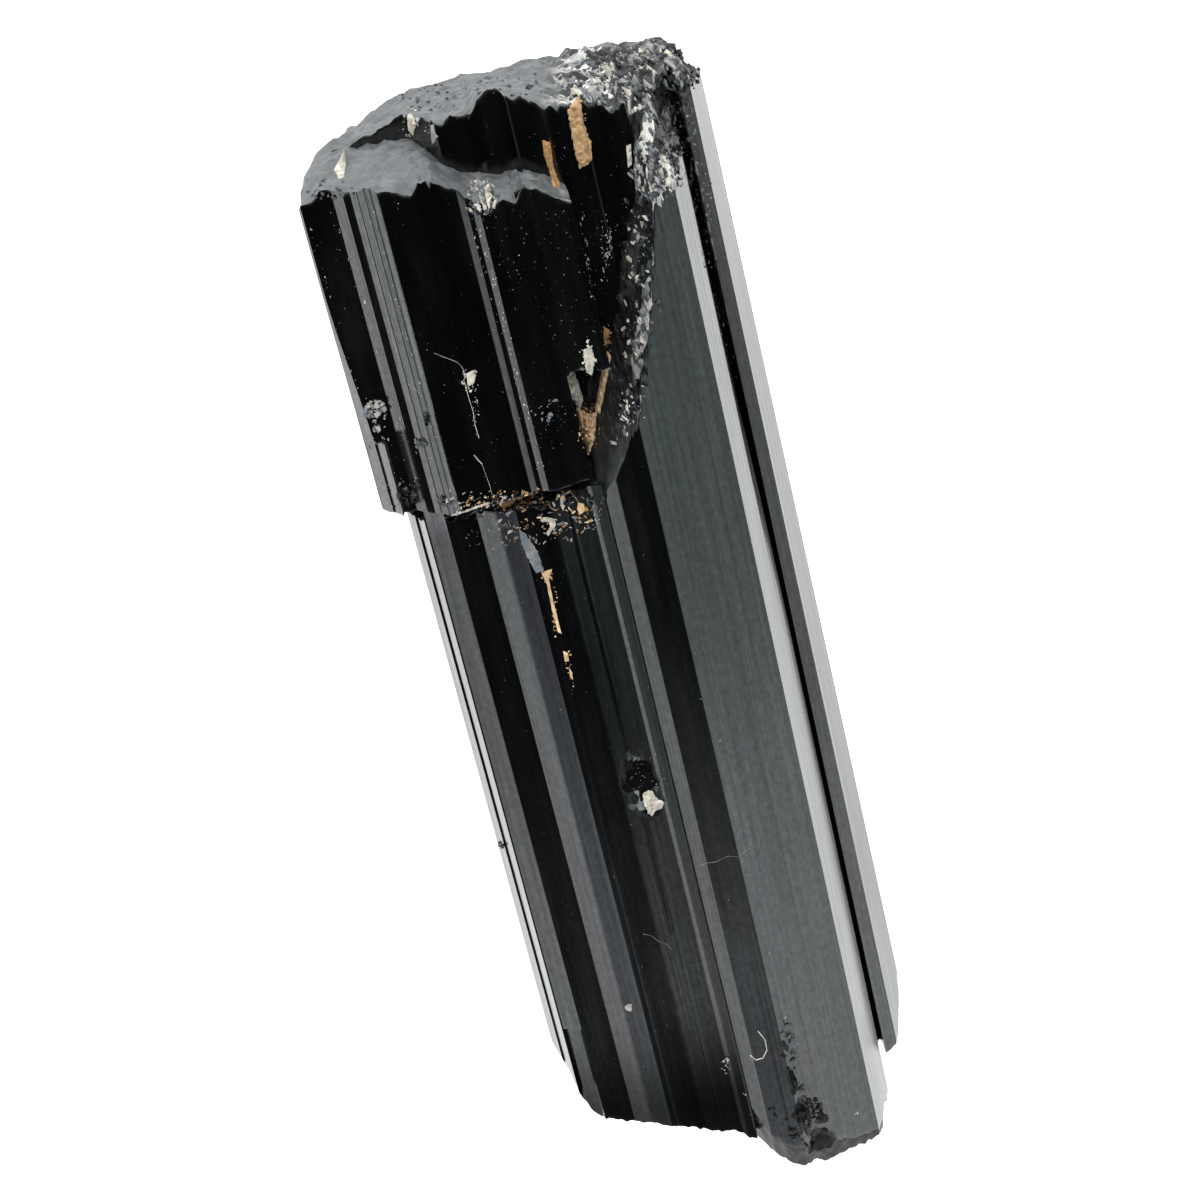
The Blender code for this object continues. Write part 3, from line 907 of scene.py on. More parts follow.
def tinted_material(name, stops, spot_colour, fineness):
    """A dull material whose colour goes by each grain's tint, with darker spots."""
    look = Look(name)
    drift = look.clouds(DRIFT_FINENESS * fineness, DRIFT_STRETCH, SPOT_DETAIL)
    tint = look.math('MULTIPLY_ADD', drift, TINT_DRIFT, look.marked("tint"))
    tint = look.math('ADD', tint, -0.5 * TINT_DRIFT)
    spots = look.clouds(fineness, 1.0, SPOT_DETAIL)
    look.put(look.shader, {
        "Base Color": look.mix(look.ramp(spots, SPOT_STOPS), look.ramp(tint, stops), spot_colour),
        "Roughness": CRUST_ROUGHNESS,
        "Normal": look.bump(spots, CRUST_RELIEF),
    })
    return look.material


def mark(body, name, values):
    """Give each point of the body a value that its material reads."""
    layer = body.data.attributes.new(name, 'FLOAT', 'POINT')
    layer.data.foreach_set("value", values)


def mark_surface(crystal):
    """Mark each point with how grey, how crushed and how filmed over the surface is there, and with
    the painted highlight and painted shade of its reflection.
    """
    flat = np.empty(len(crystal.data.vertices) * 3)
    crystal.data.vertices.foreach_get("co", flat)
    place = flat.reshape(-1, 3) / MM + np.array(MIDDLE)
    x, y, z = place.T
    top = soft(y, *TOP_RUN)
    right = soft(x - CRUSH_LEAN * (BACK_RIM - z), *CRUSHED_FROM)
    bottom = 1.0 - soft(y, *BOTTOM_RUN)
    slant = soft(x, *SLANT_ACROSS) * soft(y, *SLANT_RUN) * (1.0 - top)
    slant_rim = 1.0 - soft(side_front(x) - z, *SLANT_RIM)
    foot = soft(x, *SLANT_ACROSS) * soft(y, *SLANT_FOOT[:2]) * (1.0 - soft(y, *SLANT_FOOT[2:]))
    corner_x, corner_y, corner_z = CRUSHED_CORNER
    corner = soft(x, corner_x, corner_x + CORNER_ACROSS) * (1.0 - soft(z, CORNER_UNDER, corner_z))
    left, groove_right = DIRTY_GROOVE
    dirt = soft(x, left, left + GROOVE_EDGES[0]) * soft(y, *DIRTY_FROM)
    dirt *= 1.0 - soft(x, groove_right, groove_right + GROOVE_EDGES[1])
    dirt *= 1.0 - soft(z, *DIRTY_BELOW)
    in_front = x < FRONT_RIGHT
    # Darker towards the front prism's bottom: no film there, and a painted shade that weakens the
    # reflection.
    darker_bottom = in_front * (1.0 - soft(y, *DARKER_BOTTOM_RUN))
    # Painted highlight: the block's left strips reflect more strongly.
    strip_highlight = (1.0 - soft(x, *STRIPS_END)) * soft(y, *STRIPS_ALONG) * soft(z, *STRIPS_UP)
    more, *more_run = FRONT_RIGHT_FILM
    film = np.where(in_front, FRONT_FILM + more * soft(x, *more_run), SIDE_FILM)
    # The painted shade at the bottom is deeper towards the right.
    darker, *darker_run = BOTTOM_RIGHT_PAINTED_SHADE
    bottom_painted_shade = darker_bottom * (BOTTOM_PAINTED_SHADE + darker * soft(x, *darker_run))
    slant_crush, rim_crush = SLANT_CRUSH
    values = {
        "dirt": dirt,
        "grey": top * (1.0 - CRUSHED_LESS_GREY * right) + DULL_GREY * (bottom + slant)
        + FOOT_GREY * foot,
        "crush": top * right * (1.0 - CORNER_LESS_CRUSHED * corner * top)
        + slant * (slant_crush + rim_crush * slant_rim) + BOTTOM_CRUSH * bottom,
        "film": film * (1.0 - soft(y, *FILM_RUN)) * (1.0 - darker_bottom),
        # Reflection strength, with the painted highlight on the strips and less the painted shade
        # at the bottom.
        "sheen_painted_highlight_and_shade": 1.0 + STRIP_PAINTED_HIGHLIGHT * strip_highlight - bottom_painted_shade,
    }
    for name, value in values.items():
        mark(crystal, name, np.clip(value, 0.0, 2.0))
    for face in crystal.data.polygons:
        across, along, height = place[list(face.vertices)].mean(axis=0)
        if corner_x < across < left and along > corner_y and height < corner_z:
            if height < CORNER_HEIGHT - CORNER_FALL * (across - corner_x):
                face.material_index = 1


# Crusts and grains are placed by where the photograph shows them, in its pixels. A patch has
# an outline, a thickness and a tint, from white over cream and blue-grey to brown if it is
# pale, and from dark to light if it is ochre.
PHOTO_SIZE = 1200
OCHRE_PATCHES = [
    ([(567, 110), (580, 95), (584, 125), (591, 142), (592, 161), (580, 169), (575, 155),
      (571, 130)], 0.22, 0.62),
    ([(542, 140), (550, 142), (554, 168), (561, 188), (554, 191), (549, 170), (544, 155)],
     0.14, 0.52),
    # The cleft's bottom: its tint is raised to the palest ochre, painted light that lifts it out of
    # the cleft's shade.
    ([(576, 408), (583, 411), (590, 414), (597, 411), (596, 425), (594, 440), (589, 455),
      (583, 440), (579, 425)], 1.0, 0.95),
    ([(607, 350), (611, 357), (606, 385), (600, 414), (595, 412), (599, 385), (603, 362)],
     0.60, 0.88),
    ([(604, 327), (610, 330), (607, 348), (603, 345)], 0.12, 0.4),
    ([(541, 572), (552, 569), (549, 580), (553, 600), (560, 628), (562, 634), (558, 632),
      (552, 610), (547, 585)], 0.12, 0.75),
    ([(563, 651), (568, 653), (569, 661), (565, 662)], 0.08, 0.8),
    ([(569, 668), (572, 672), (573, 680), (570, 677)], 0.06, 0.75),
    ([(498, 505), (503, 499), (510, 500), (515, 494), (523, 490), (525, 496), (518, 502),
      (510, 505), (504, 509)], 0.12, 0.5),
    ([(578, 502), (584, 504), (585, 511), (580, 515), (577, 509)], 0.16, 0.8),
]
PALE_PATCHES = [
    ([(642, 794), (648, 791), (652, 790), (655, 797), (665, 803), (661, 808), (657, 810),
      (652, 816), (648, 813), (645, 805)], 0.28, 0.12),
    ([(466, 374), (473, 370), (476, 375), (474, 383), (468, 387)], 0.12, 0.24),
    ([(583, 350), (591, 346), (595, 360), (592, 376), (586, 372)], 0.20, 0.33),
    ([(562, 360), (569, 363), (575, 374), (580, 388), (583, 400), (580, 411), (575, 403),
      (569, 393), (566, 378)], 0.50, 0.04),
    ([(540, 518), (547, 517), (555, 519), (556, 525), (552, 531), (548, 536), (546, 533),
      (550, 527), (549, 522), (541, 522)], 0.08, 0.3),
    ([(561, 494), (565, 494), (566, 503), (563, 511), (560, 504)], 0.08, 0.3),
    ([(407, 116), (412, 112), (416, 124), (413, 136), (408, 130)], 0.20, 0.30),
    ([(344, 149), (346, 160), (344, 177), (340, 181), (334, 170), (337, 164)], 0.14, 0.22),
    ([(430, 126), (434, 124), (436, 140), (432, 145)], 0.14, 0.45),
    ([(626, 146), (631, 144), (632, 164), (628, 168)], 0.16, 0.15),
    ([(519, 528), (527, 536), (538, 552), (544, 571), (536, 573), (527, 556), (521, 542)],
     0.12, 0.60),
    ([(484, 188), (489, 183), (493, 198), (489, 210), (486, 200)], 0.30, 0.22),
]

# Groups of grains: middle, how far they spread, how many, their sizes in millimetres, and their
# tints. Some are drawn out, by a stretch at an angle of the picture that strays by so much.
PALE_GRAINS = [
    ((410, 122), (9, 16), 26, (0.06, 0.20), (0.05, 0.45)),
    ((431, 133), (6, 13), 16, (0.05, 0.15), (0.3, 0.5)),
    ((341, 166), (5, 15), 16, (0.04, 0.12), (0.2, 0.5)),
    ((481, 197), (15, 19), 60, (0.15, 0.5), (0.25, 0.62), (2.0, 110, 50)),
    ((470, 380), (9, 13), 26, (0.05, 0.16), (0.1, 0.45)),
    ((476, 412), (4, 24), 22, (0.03, 0.09), (0.1, 0.4)),
    ((550, 412), (16, 13), 22, (0.06, 0.30), (0.56, 0.74), (2.0, 60, 70)),
    ((588, 358), (9, 18), 30, (0.05, 0.18), (0.0, 0.3)),
    ((376, 416), (12, 16), 60, (0.10, 0.36), (0.38, 0.66)),
    ((606, 238), (6, 24), 34, (0.04, 0.11), (0.15, 0.45)),
    ((640, 72), (52, 24), 90, (0.18, 0.75), (0.1, 0.6), (2.6, 118, 30)),
    ((600, 92), (34, 12), 50, (0.15, 0.50), (0.2, 0.6), (2.2, 118, 40)),
    ((657, 176), (28, 26), 60, (0.12, 0.50), (0.2, 0.62), (2.4, 125, 30)),
    ((680, 140), (16, 50), 90, (0.06, 0.22), (0.42, 0.64), (1.6, 110, 60)),
    ((703, 200), (9, 50), 60, (0.04, 0.16), (0.4, 0.66)),
    ((545, 516), (56, 28), 140, (0.08, 0.38), (0.2, 1.0), (3.2, 0, 90)),
    ((480, 505), (40, 14), 70, (0.08, 0.30), (0.1, 1.0), (2.2, 0, 90)),
    ((505, 538), (40, 16), 60, (0.05, 0.24), (0.4, 1.0), (2.0, 100, 50)),
    ((390, 470), (30, 40), 50, (0.05, 0.22), (0.45, 0.9), (1.8, 104, 40)),
    ((648, 775), (18, 26), 26, (0.03, 0.10), (0.0, 0.6)),
    ((629, 1007), (2, 2), 9, (0.22, 0.36), (0.22, 0.4)),
    ((726, 1066), (6, 8), 12, (0.08, 0.26), (0.25, 0.6)),
    ((745, 1094), (2, 2), 4, (0.04, 0.08), (0.0, 0.5)),
    ((857, 1113), (2, 2), 4, (0.04, 0.08), (0.0, 0.3)),
    ((470, 300), (170, 190), 300, (0.012, 0.045), (0.0, 0.8)),
    ((600, 220), (60, 200), 220, (0.012, 0.05), (0.0, 0.8)),
    ((620, 780), (150, 320), 260, (0.010, 0.032), (0.0, 0.6)),
    ((500, 240), (30, 60), 60, (0.015, 0.06), (0.2, 0.7)),
    ((545, 420), (30, 30), 60, (0.015, 0.06), (0.3, 0.8)),
]
OCHRE_GRAINS = [
    ((515, 497), (24, 7), 40, (0.05, 0.16), (0.2, 0.9)),
    ((556, 512), (40, 24), 70, (0.10, 0.42), (0.2, 1.0), (2.6, 0, 90)),
    ((500, 500), (40, 10), 50, (0.08, 0.32), (0.1, 0.9), (2.2, 20, 40)),
    ((589, 425), (14, 26), 30, (0.04, 0.12), (0.3, 0.9)),
    ((606, 340), (6, 20), 18, (0.04, 0.12), (0.3, 0.9)),
    ((572, 684), (3, 10), 8, (0.03, 0.08), (0.6, 0.9)),
    ((547, 577), (6, 7), 16, (0.05, 0.16), (0.5, 1.0)),
    ((555, 612), (3, 26), 40, (0.04, 0.13), (0.4, 1.0)),
    ((568, 663), (3, 18), 16, (0.04, 0.12), (0.5, 1.0)),
    ((588, 430), (9, 24), 40, (0.06, 0.20), (0.4, 1.0)),
    ((579, 132), (9, 36), 40, (0.04, 0.14), (0.3, 1.0)),
]

# Threads: the line that each lies on, its radius and its tint.
THREADS = [
    ([(758, 1031), (765, 1040), (767, 1050), (763, 1058), (756, 1060), (750, 1055)], 0.022, 0.05),
    ([(643, 934), (652, 936), (658, 941), (666, 944), (671, 949)], 0.007, 0.5),
    ([(697, 867), (706, 863), (716, 862), (728, 856), (738, 857), (750, 848)], 0.007, 0.5),
    ([(434, 353), (441, 356), (449, 359), (457, 362), (462, 367), (465, 374)], 0.012, 0.45),
    ([(466, 388), (469, 399), (473, 411), (475, 425), (479, 438)], 0.016, 0.3),
    ([(474, 455), (479, 461), (482, 464)], 0.025, 0.3),
    ([(482, 464), (487, 478), (490, 486), (492, 495)], 0.010, 0.4),
    ([(408, 384), (414, 388), (420, 393), (423, 398)], 0.012, 0.4),
    ([(445, 518), (456, 514), (468, 511), (480, 506), (488, 504)], 0.030, 0.3),
]
THREAD_STEPS = 4
THREAD_SIDES = 6

# A crust fills what lies deeper than this below its middle, and leaves what stands higher than
# this above it.
INFILL_SLACK = 0.25
INFILL_STEP = 1.2

# A crust narrower than this, in pixels, has a less ragged rim. The rim strays by noises, each
# with how far and how fine. The crust has lumps (least, more, size), is thinner towards its rim,
# down to a share, and is sunk a little.
RAGGED_WIDTH = 9.0
PATCH_STEP = 1.4
PATCH_CELL = (1.5, 1.5)
PATCH_STRAYS = [(1.6, 0.3), (0.9, 0.8)]
PATCH_LUMPS = (0.8, 0.9, 3.5)
PATCH_EDGE = 1.8
PATCH_RIM = 0.25
PATCH_SUNK = 0.06

# A grain's shape: most are small, of uneven sides and corners, and rise a little out of what
# they lie on. In rows they stray, and come crowded and sparse by turns.
GRAIN_SIZE = 1.5
GRAIN_SKEW = 2.2
GRAIN_SIDES = (0.5, 1.3)
GRAIN_CORNERS = (0.55, 1.3)
GRAIN_FLATNESS = 0.8
GRAIN_RISE = 0.12
ROW_STRAY = 0.5
CROWDING = (0.06, -0.5, 0.4)

# Rows of grains: the line that they follow, how far they stray, and then as for the groups.
PALE_ROWS = [
    ([(640, 200), (641, 281), (637, 341), (631, 412), (618, 448)], 12.0, 230, (0.10, 0.42),
     (0.15, 0.64), (1.8, 104, 50)),
    ([(477, 220), (545, 474)], 2.5, 150, (0.05, 0.22), (0.25, 0.6), (2.6, 104, 15)),
    ([(466, 205), (540, 468)], 3.0, 90, (0.04, 0.16), (0.35, 0.62), (2.2, 104, 20)),
    ([(330, 195), (425, 508)], 3.0, 110, (0.04, 0.18), (0.35, 0.72), (2.2, 104, 20)),
    ([(370, 205), (455, 504)], 3.0, 120, (0.04, 0.18), (0.35, 0.72), (2.2, 104, 20)),
    ([(306, 215), (388, 505)], 3.0, 80, (0.04, 0.16), (0.35, 0.62), (2.2, 104, 20)),
    ([(582, 212), (592, 300)], 3.0, 50, (0.05, 0.22), (0.4, 0.62), (2.6, 104, 15)),
    ([(612, 225), (603, 285)], 5.0, 70, (0.06, 0.26), (0.2, 0.5), (2.4, 95, 30)),
    ([(660, 520), (800, 1080)], 5.0, 40, (0.03, 0.12), (0.3, 0.6)),
    ([(700, 235), (735, 380)], 5.0, 60, (0.04, 0.18), (0.3, 0.62), (1.8, 104, 30)),
    ([(446, 518), (468, 510), (488, 503)], 1.5, 110, (0.06, 0.24), (0.2, 0.5), (2.4, 18, 20)),
]

# Angular chips of the crystal itself, in its rubble, its pits and along its worn edges. In the
# place of a tint they have how grey they are.
CHIP_ROWS = [
    ([(786, 1020), (790, 1060), (802, 1100), (812, 1140)], 9.0, 150, (0.10, 0.42), (0.0, 0.12),
     (1.6, 100, 60)),
    ([(596, 1148), (680, 1158), (760, 1150)], 8.0, 80, (0.08, 0.32), (0.0, 0.15)),
    ([(640, 200), (641, 281), (637, 341), (628, 412)], 16.0, 160, (0.12, 0.42), (0.0, 0.3),
     (1.6, 104, 50)),
]
CHIPS = [
    ((427, 419), (2.5, 6), 14, (0.10, 0.26), (0.0, 0.02)),
    ((420, 442), (6, 5), 16, (0.10, 0.30), (0.1, 0.9)),
    ((406, 496), (9, 8), 30, (0.10, 0.34), (0.0, 0.3)),
    ((501, 845), (3, 3), 8, (0.10, 0.28), (0.0, 0.04)),
    ((446, 500), (10, 6), 24, (0.08, 0.30), (0.1, 0.8)),
    ((671, 52), (9, 7), 26, (0.20, 0.55), (0.0, 0.12)),
    ((640, 72), (54, 26), 230, (0.16, 0.60), (0.0, 0.5), (1.8, 118, 40)),
    ((672, 118), (22, 42), 150, (0.10, 0.40), (0.0, 0.12)),
    ((690, 66), (10, 24), 60, (0.10, 0.36), (0.0, 0.4)),
    ((655, 172), (26, 32), 110, (0.10, 0.42), (0.0, 0.35), (1.8, 120, 40)),
    ((637, 775), (14, 17), 14, (0.06, 0.20), (0.0, 0.05)),
    ((806, 1122), (22, 24), 90, (0.10, 0.38), (0.0, 0.12)),
    ((770, 1120), (22, 14), 20, (0.08, 0.24), (0.0, 0.1)),
    ((545, 500), (60, 9), 90, (0.08, 0.30), (0.0, 0.10)),
    ((430, 98), (28, 14), 40, (0.08, 0.30), (0.1, 0.9)),
    ((520, 85), (60, 12), 40, (0.08, 0.26), (0.2, 0.9)),
    ((480, 200), (22, 14), 30, (0.10, 0.34), (0.2, 0.9)),
    ((330, 190), (26, 12), 30, (0.08, 0.26), (0.3, 0.9)),
]
CHIP_CRUSH = 0.12


class Ground:
    """The crystal's surface as the camera sees it."""

    def __init__(self, crystal, camera):
        self.tree = BVHTree.FromObject(crystal, bpy.context.evaluated_depsgraph_get())
        self.turn = camera.matrix_world.to_3x3()
        self.eye = camera.matrix_world.translation.copy()
        self.focal = CAMERA_LENS / SENSOR * PHOTO_SIZE

    def at(self, pixel):
        """Place on the crystal under the pixel, in millimetres, and the way back to the
        camera, or nothing where the pixel shows no crystal."""
        x, y = pixel[0] - PHOTO_SIZE / 2, PHOTO_SIZE / 2 - pixel[1]
        ray = (self.turn @ Vector((x / self.focal, y / self.focal, -1.0))).normalized()
        hit = self.tree.ray_cast(self.eye, ray)[0]
        if hit is None:
            return None, None
        return np.array(hit) / MM + np.array(MIDDLE), -np.array(ray)


def unit_grain():
    shape = bmesh.new()
    bmesh.ops.create_cube(shape, size=GRAIN_SIZE)
    bmesh.ops.triangulate(shape, faces=shape.faces)
    return points_and_faces(shape)


class Pile:
    """Closed small shapes on the crystal, gathered into one object."""

    def __init__(self, ground):
        self.ground = ground
        self.cube, self.cube_faces = unit_grain()
        self.points, self.faces, self.tints = [], [], []

    def add(self, points, faces, tint):
        count = len(self.tints)
        self.points.append(points)
        self.faces += [[i + count for i in face] for face in faces]
        self.tints += [tint] * len(points)

    def patch(self, outline, thickness, tint, seed):
        """A lumpy crust with a ragged rim, thin at its rim."""
        sides = [(Vector(a), Vector(b)) for a, b in zip(outline, outline[1:] + outline[:1])]
        area = abs(sum(a.x * b.y - b.x * a.y for a, b in sides)) / 2
        width = 2.0 * area / sum((b - a).length for a, b in sides)
        ragged = min(1.0, (width / RAGGED_WIDTH) ** 2)
        rim = []
        for start, end in sides:
            side = (end - start).orthogonal().normalized()
            pieces = max(1, round((end - start).length / PATCH_STEP))
            for i in range(pieces):
                point = start.lerp(end, i / pieces)
                stray = sum(far * noise.noise(Vector((point.x * fine, point.y * fine, seed)))
                            for far, fine in PATCH_STRAYS)
                rim.append(tuple(point + side * stray * ragged))
        rim = np.array(rim)
        inner = fill_points(rim, np.array(PATCH_CELL), int(seed))
        flat = np.vstack([rim, inner])
        faces = filled(rim, inner)
        inside = np.concatenate([np.zeros(len(rim)), rim_distance(inner, rim)])
        hits = [self.ground.at(pixel) for pixel in flat]
        reach = [float(place @ back) for place, back in hits]
        level = sorted(reach)[len(reach) // 2]
        least, more, size = PATCH_LUMPS
        upper, lower = [], []
        for pixel, away, (place, back), own in zip(flat, inside, hits, reach):
            lump = least + more * noise.noise(Vector((pixel[0] / size, pixel[1] / size, seed)))
            full = (1.0 - math.exp(-away / PATCH_EDGE)) * lump
            height = thickness * (PATCH_RIM + (1.0 - PATCH_RIM) * full)
            raised = min(max(own, level - INFILL_SLACK), level + INFILL_STEP) - own
            upper.append(place + back * (height + raised))
            lower.append(place + back * (min(raised, 0.0) - PATCH_SUNK))
        count = len(flat)
        solid = [list(face) for face in faces]
        solid += [[i + count for i in reversed(face)] for face in faces]
        for i in range(len(rim)):
            j = (i + 1) % len(rim)
            solid += [[i, i + count, j + count], [i, j + count, j]]
        self.add(np.array(upper + lower), solid, tint)

    def grain(self, pixel, draw, sizes, tints, lie=None):
        """One angular grain, partly sunk into what it lies on, at random or drawn out."""
        size = sizes[0] + (sizes[1] - sizes[0]) * draw.random() ** GRAIN_SKEW
        tint = draw.uniform(*tints)
        shape = [draw.uniform(*GRAIN_SIDES) for _ in range(3)]
        turn = Matrix.Rotation(draw.uniform(0.0, math.pi), 3, Vector((
            draw.uniform(-1, 1), draw.uniform(-1, 1), draw.uniform(-1, 1))))
        bends = [draw.uniform(*GRAIN_CORNERS) for _ in range(len(self.cube))]
        place, back = self.ground.at(pixel)
        if place is None:
            return
        corners = self.cube * np.array(bends)[:, None] * np.array(shape) * size / 2
        corners = corners @ np.array(turn).T
        if lie is not None:
            stretch, angle, stray = lie
            angle = math.radians(angle + draw.uniform(-stray, stray))
            long = Vector((math.cos(angle), math.sin(angle), 0.0))
            wide = Vector((-long.y, long.x, 0.0))
            axes = [np.array(self.ground.turn @ axis) for axis in (long, wide)]
            squeezed = corners * np.array((1.0, 1.0 / stretch, GRAIN_FLATNESS / stretch))
            corners = squeezed @ np.array([*axes, np.cross(*axes)])
        self.add(corners + place + back * size * GRAIN_RISE, self.cube_faces, tint)

    def oval(self, draw, middle, spread, count, *kind):
        """Grains spread over an oval of the picture."""
        for _ in range(count):
            angle, reach = draw.uniform(0.0, 2.0 * math.pi), math.sqrt(draw.random())
            self.grain((middle[0] + spread[0] * reach * math.cos(angle),
                        middle[1] + spread[1] * reach * math.sin(angle)), draw, *kind)

    def row(self, draw, line, stray, count, *kind):
        """Grains along a line of the picture, crowded and sparse by turns."""
        size, least, most = CROWDING
        for _ in range(count):
            run = draw.random() * (len(line) - 1)
            step = min(int(run), len(line) - 2)
            point = Vector(line[step]).lerp(Vector(line[step + 1]), run - step)
            point.x += draw.gauss(0.0, ROW_STRAY) * stray
            crowd = noise.noise(Vector((point.y * size, line[0][0], 0.0)))
            if crowd >= draw.uniform(least, most):
                self.grain(tuple(point), draw, *kind)

    def thread(self, pixels, radius, tint):
        """A thin round thread that lies on the surface."""
        line = []
        for start, end in zip(pixels, pixels[1:]):
            line += [Vector(start).lerp(Vector(end), i / THREAD_STEPS) for i in range(THREAD_STEPS)]
        hits = [self.ground.at(pixel) for pixel in (*line, Vector(pixels[-1]))]
        centres = [place + back * radius for place, back in hits]
        back = hits[-1][1]
        rings = []
        for i, centre in enumerate(centres):
            ahead = centres[min(i + 1, len(centres) - 1)] - centres[max(i - 1, 0)]
            ahead /= np.linalg.norm(ahead)
            across = np.cross(ahead, back)
            across /= np.linalg.norm(across)
            up = np.cross(across, ahead)
            for k in range(THREAD_SIDES):
                angle = 2.0 * math.pi * k / THREAD_SIDES
                rings.append(centre + radius * (math.cos(angle) * across + math.sin(angle) * up))
        faces = []
        for ring in range(0, len(rings) - THREAD_SIDES, THREAD_SIDES):
            for k in range(THREAD_SIDES):
                a, b = ring + k, ring + (k + 1) % THREAD_SIDES
                faces.append([a, b, b + THREAD_SIDES, a + THREAD_SIDES])
        faces.append(list(range(THREAD_SIDES))[::-1])
        faces.append(list(range(len(rings) - THREAD_SIDES, len(rings))))
        self.add(np.array(rings), faces, tint)

    def finish(self, name, material, what="tint"):
        body = to_object(name, np.vstack(self.points), self.faces, [0] * len(self.faces))
        mark(body, what, self.tints)
        body.data.materials.append(material)
        return body


def build_crusts(crystal, camera):
    ground = Ground(crystal, camera)
    ochre, pale, chips = Pile(ground), Pile(ground), Pile(ground)
    draw = random.Random(7)
    for pile, patches, groups, rows in (
            (ochre, OCHRE_PATCHES, OCHRE_GRAINS, []),
            (pale, PALE_PATCHES, PALE_GRAINS, PALE_ROWS),
            (chips, [], CHIPS, CHIP_ROWS)):
        for number, patch in enumerate(patches):
            pile.patch(*patch, 3.0 + number)
        for group in groups:
            pile.oval(draw, *group)
        for row in rows:
            pile.row(draw, *row)
    for thread in THREADS:
        pale.thread(*thread)
    earthy = tinted_material("ochre_crust", OCHRE_STOPS, OCHRE_SPOTS, OCHRE_FINENESS)
    chalky = tinted_material("pale_grains", PALE_STOPS, PALE_SPOTS, PALE_FINENESS)
    chips = chips.finish("tourmaline_chips", crystal.data.materials[1], "grey")
    mark(chips, "crush", [CHIP_CRUSH] * len(chips.data.vertices))
    return chips, ochre.finish("ochre_crust", earthy), pale.finish("pale_grains", chalky)


# The camera looks down on the front face from a little beyond the top end, turned so that the
# crystal's length runs up the picture with a lean to the left.
CAMERA_TILT = math.radians(66.0)
CAMERA_DISTANCE = 135.394
CAMERA_LENS = 81.236
SENSOR = 36.0
CAMERA_TARGET = (0.0, 0.0, 9.2)
CAMERA_NEAR = 0.001
LEAN_IN_PICTURE = (0.23793, 0.97128)


def add_camera():
    data = bpy.data.cameras.new("camera")
    data.sensor_width = SENSOR
    data.lens = CAMERA_LENS
    data.clip_start = CAMERA_NEAR
    camera = placed("camera", data)
    bpy.context.scene.camera = camera
    sine, cosine = math.sin(CAMERA_TILT), math.cos(CAMERA_TILT)
    back = Vector((0.0, cosine, sine))
    along, across = Vector((0.0, sine, -cosine)), Vector((1.0, 0.0, 0.0))
    lean, upright = LEAN_IN_PICTURE
    right = across * upright - along * lean
    up = across * lean + along * upright
    target = Vector(CAMERA_TARGET) - Vector(MIDDLE)
    place = (target + back * CAMERA_DISTANCE) * MM
    turn = Matrix((right, up, back)).transposed()
    camera.matrix_world = Matrix.Translation(place) @ turn.to_4x4()
    return camera


# The white table: half its size, and its finish.
TABLE_HALF = 1.5
TABLE_FINISH = {
    "Base Color": (0.86, 0.86, 0.86, 1.0), "Roughness": 0.8,
    "Emission Color": (1.0, 1.0, 1.0, 1.0), "Emission Strength": 0.75,
}

# The studio's light by height, from straight down to straight up. It is dimmed towards the
# right, from full to a half.
SKY_STOPS = [
    (0.0, 1.5), (0.22, 1.65), (0.50, (2.1, 2.1, 2.15)), (0.66, (1.2, 1.25, 1.32)),
    (0.75, (0.50, 0.54, 0.60)), (0.84, (0.06, 0.065, 0.07)), (0.94, 0.008), (1.0, 0.004),
]
SKY_DIMMED = (0.35, 0.68, 1.0, 0.5)

# Soft round lights: direction, outer and inner size in degrees, and colour.
SKY_LIGHTS = [
    ((0.55, -0.33, 0.77), 22.0, 8.0, (0.62, 0.74, 0.70)),
    ((-0.27, -0.60, 0.75), 12.0, 4.0, (0.48, 0.48, 0.50)),
    ((0.0, 0.75, 0.66), 60.0, 15.0, (2.2, 2.2, 2.2)),
]

# A light low in front and to the right: its ends in Y and X, and its colour.
LOW_LIGHT_FRONT = (-0.485, -0.455, 1.0, 0.0)
LOW_LIGHT_RIGHT = (0.12, 0.45, 0.0, 1.0)
LOW_LIGHT_COLOUR = (0.85, 0.85, 0.85)


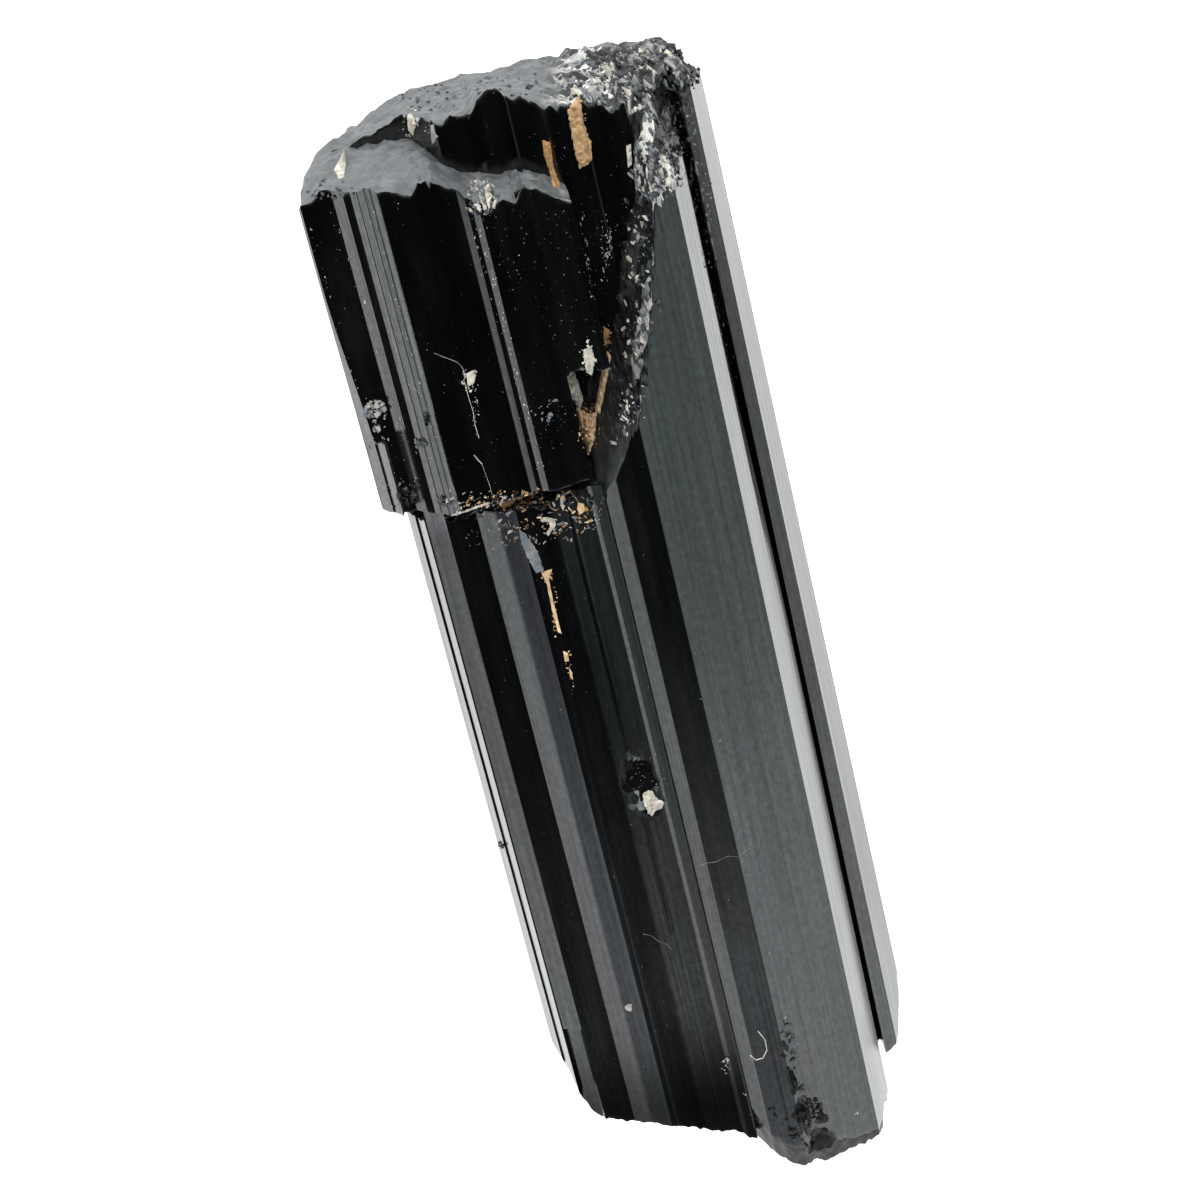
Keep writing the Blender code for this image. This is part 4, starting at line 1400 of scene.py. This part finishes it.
def add_floor():
    mesh = bpy.data.meshes.new("floor")
    half = TABLE_HALF
    corners = [(-half, -half, 0.0), (half, -half, 0.0), (half, half, 0.0), (-half, half, 0.0)]
    mesh.from_pydata(corners, [], [(0, 1, 2, 3)])
    floor = placed("floor", mesh)
    look = Look("white_table")
    look.put(look.shader, TABLE_FINISH)
    mesh.materials.append(look.material)


class Sky(Graph):
    """The studio round the crystal: soft light that depends only on direction."""

    def __init__(self):
        world = bpy.data.worlds.new("studio")
        bpy.context.scene.world = world
        super().__init__(world)
        self.direction = self.nodes.new('ShaderNodeTexCoord').outputs["Generated"]
        split = self.node('SeparateXYZ', {"Vector": self.direction})
        self.axis = {a: split.outputs[a] for a in "XYZ"}
        self.total = (0.0, 0.0, 0.0)

    def add(self, colour, strength):
        light = self.vector('SCALE', {0: colour, "Scale": strength})
        self.total = self.vector('ADD', {0: self.total, 1: light})

    def run(self, value, low, high, start, end, kind='SMOOTHSTEP'):
        """From start to end, as the value goes from low to high."""
        node = self.node('MapRange', {
            "Value": value, "From Min": low, "From Max": high, "To Min": start, "To Max": end})
        node.interpolation_type = kind
        return node.outputs["Result"]

    def light(self, direction, outer, inner, colour):
        toward = Vector(direction).normalized()
        toward = self.vector('DOT_PRODUCT', {0: self.direction, 1: toward}, "Value")
        outer, inner = math.cos(math.radians(outer)), math.cos(math.radians(inner))
        self.add(colour, self.run(toward, outer, inner, 0.0, 1.0))


def add_sky():
    sky = Sky()
    sky.add(sky.ramp(sky.axis["Z"], SKY_STOPS), sky.run(sky.axis["X"], *SKY_DIMMED, 'LINEAR'))
    for light in SKY_LIGHTS:
        sky.light(*light)
    front = sky.run(sky.axis["Y"], *LOW_LIGHT_FRONT)
    right = sky.run(sky.axis["X"], *LOW_LIGHT_RIGHT)
    sky.add(LOW_LIGHT_COLOUR, sky.product(front, right))
    sky.put(sky.nodes["Background"], {"Color": sky.total})


def main():
    crystal = build_crystal()
    mark_surface(crystal)
    camera = add_camera()
    chips, ochre, pale = build_crusts(crystal, camera)
    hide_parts("crystal")
    for piece in (crystal, chips, ochre, pale):
        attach(piece, "root")
    add_floor()
    add_sky()
    bpy.context.scene.view_settings.view_transform = 'Standard'


main()
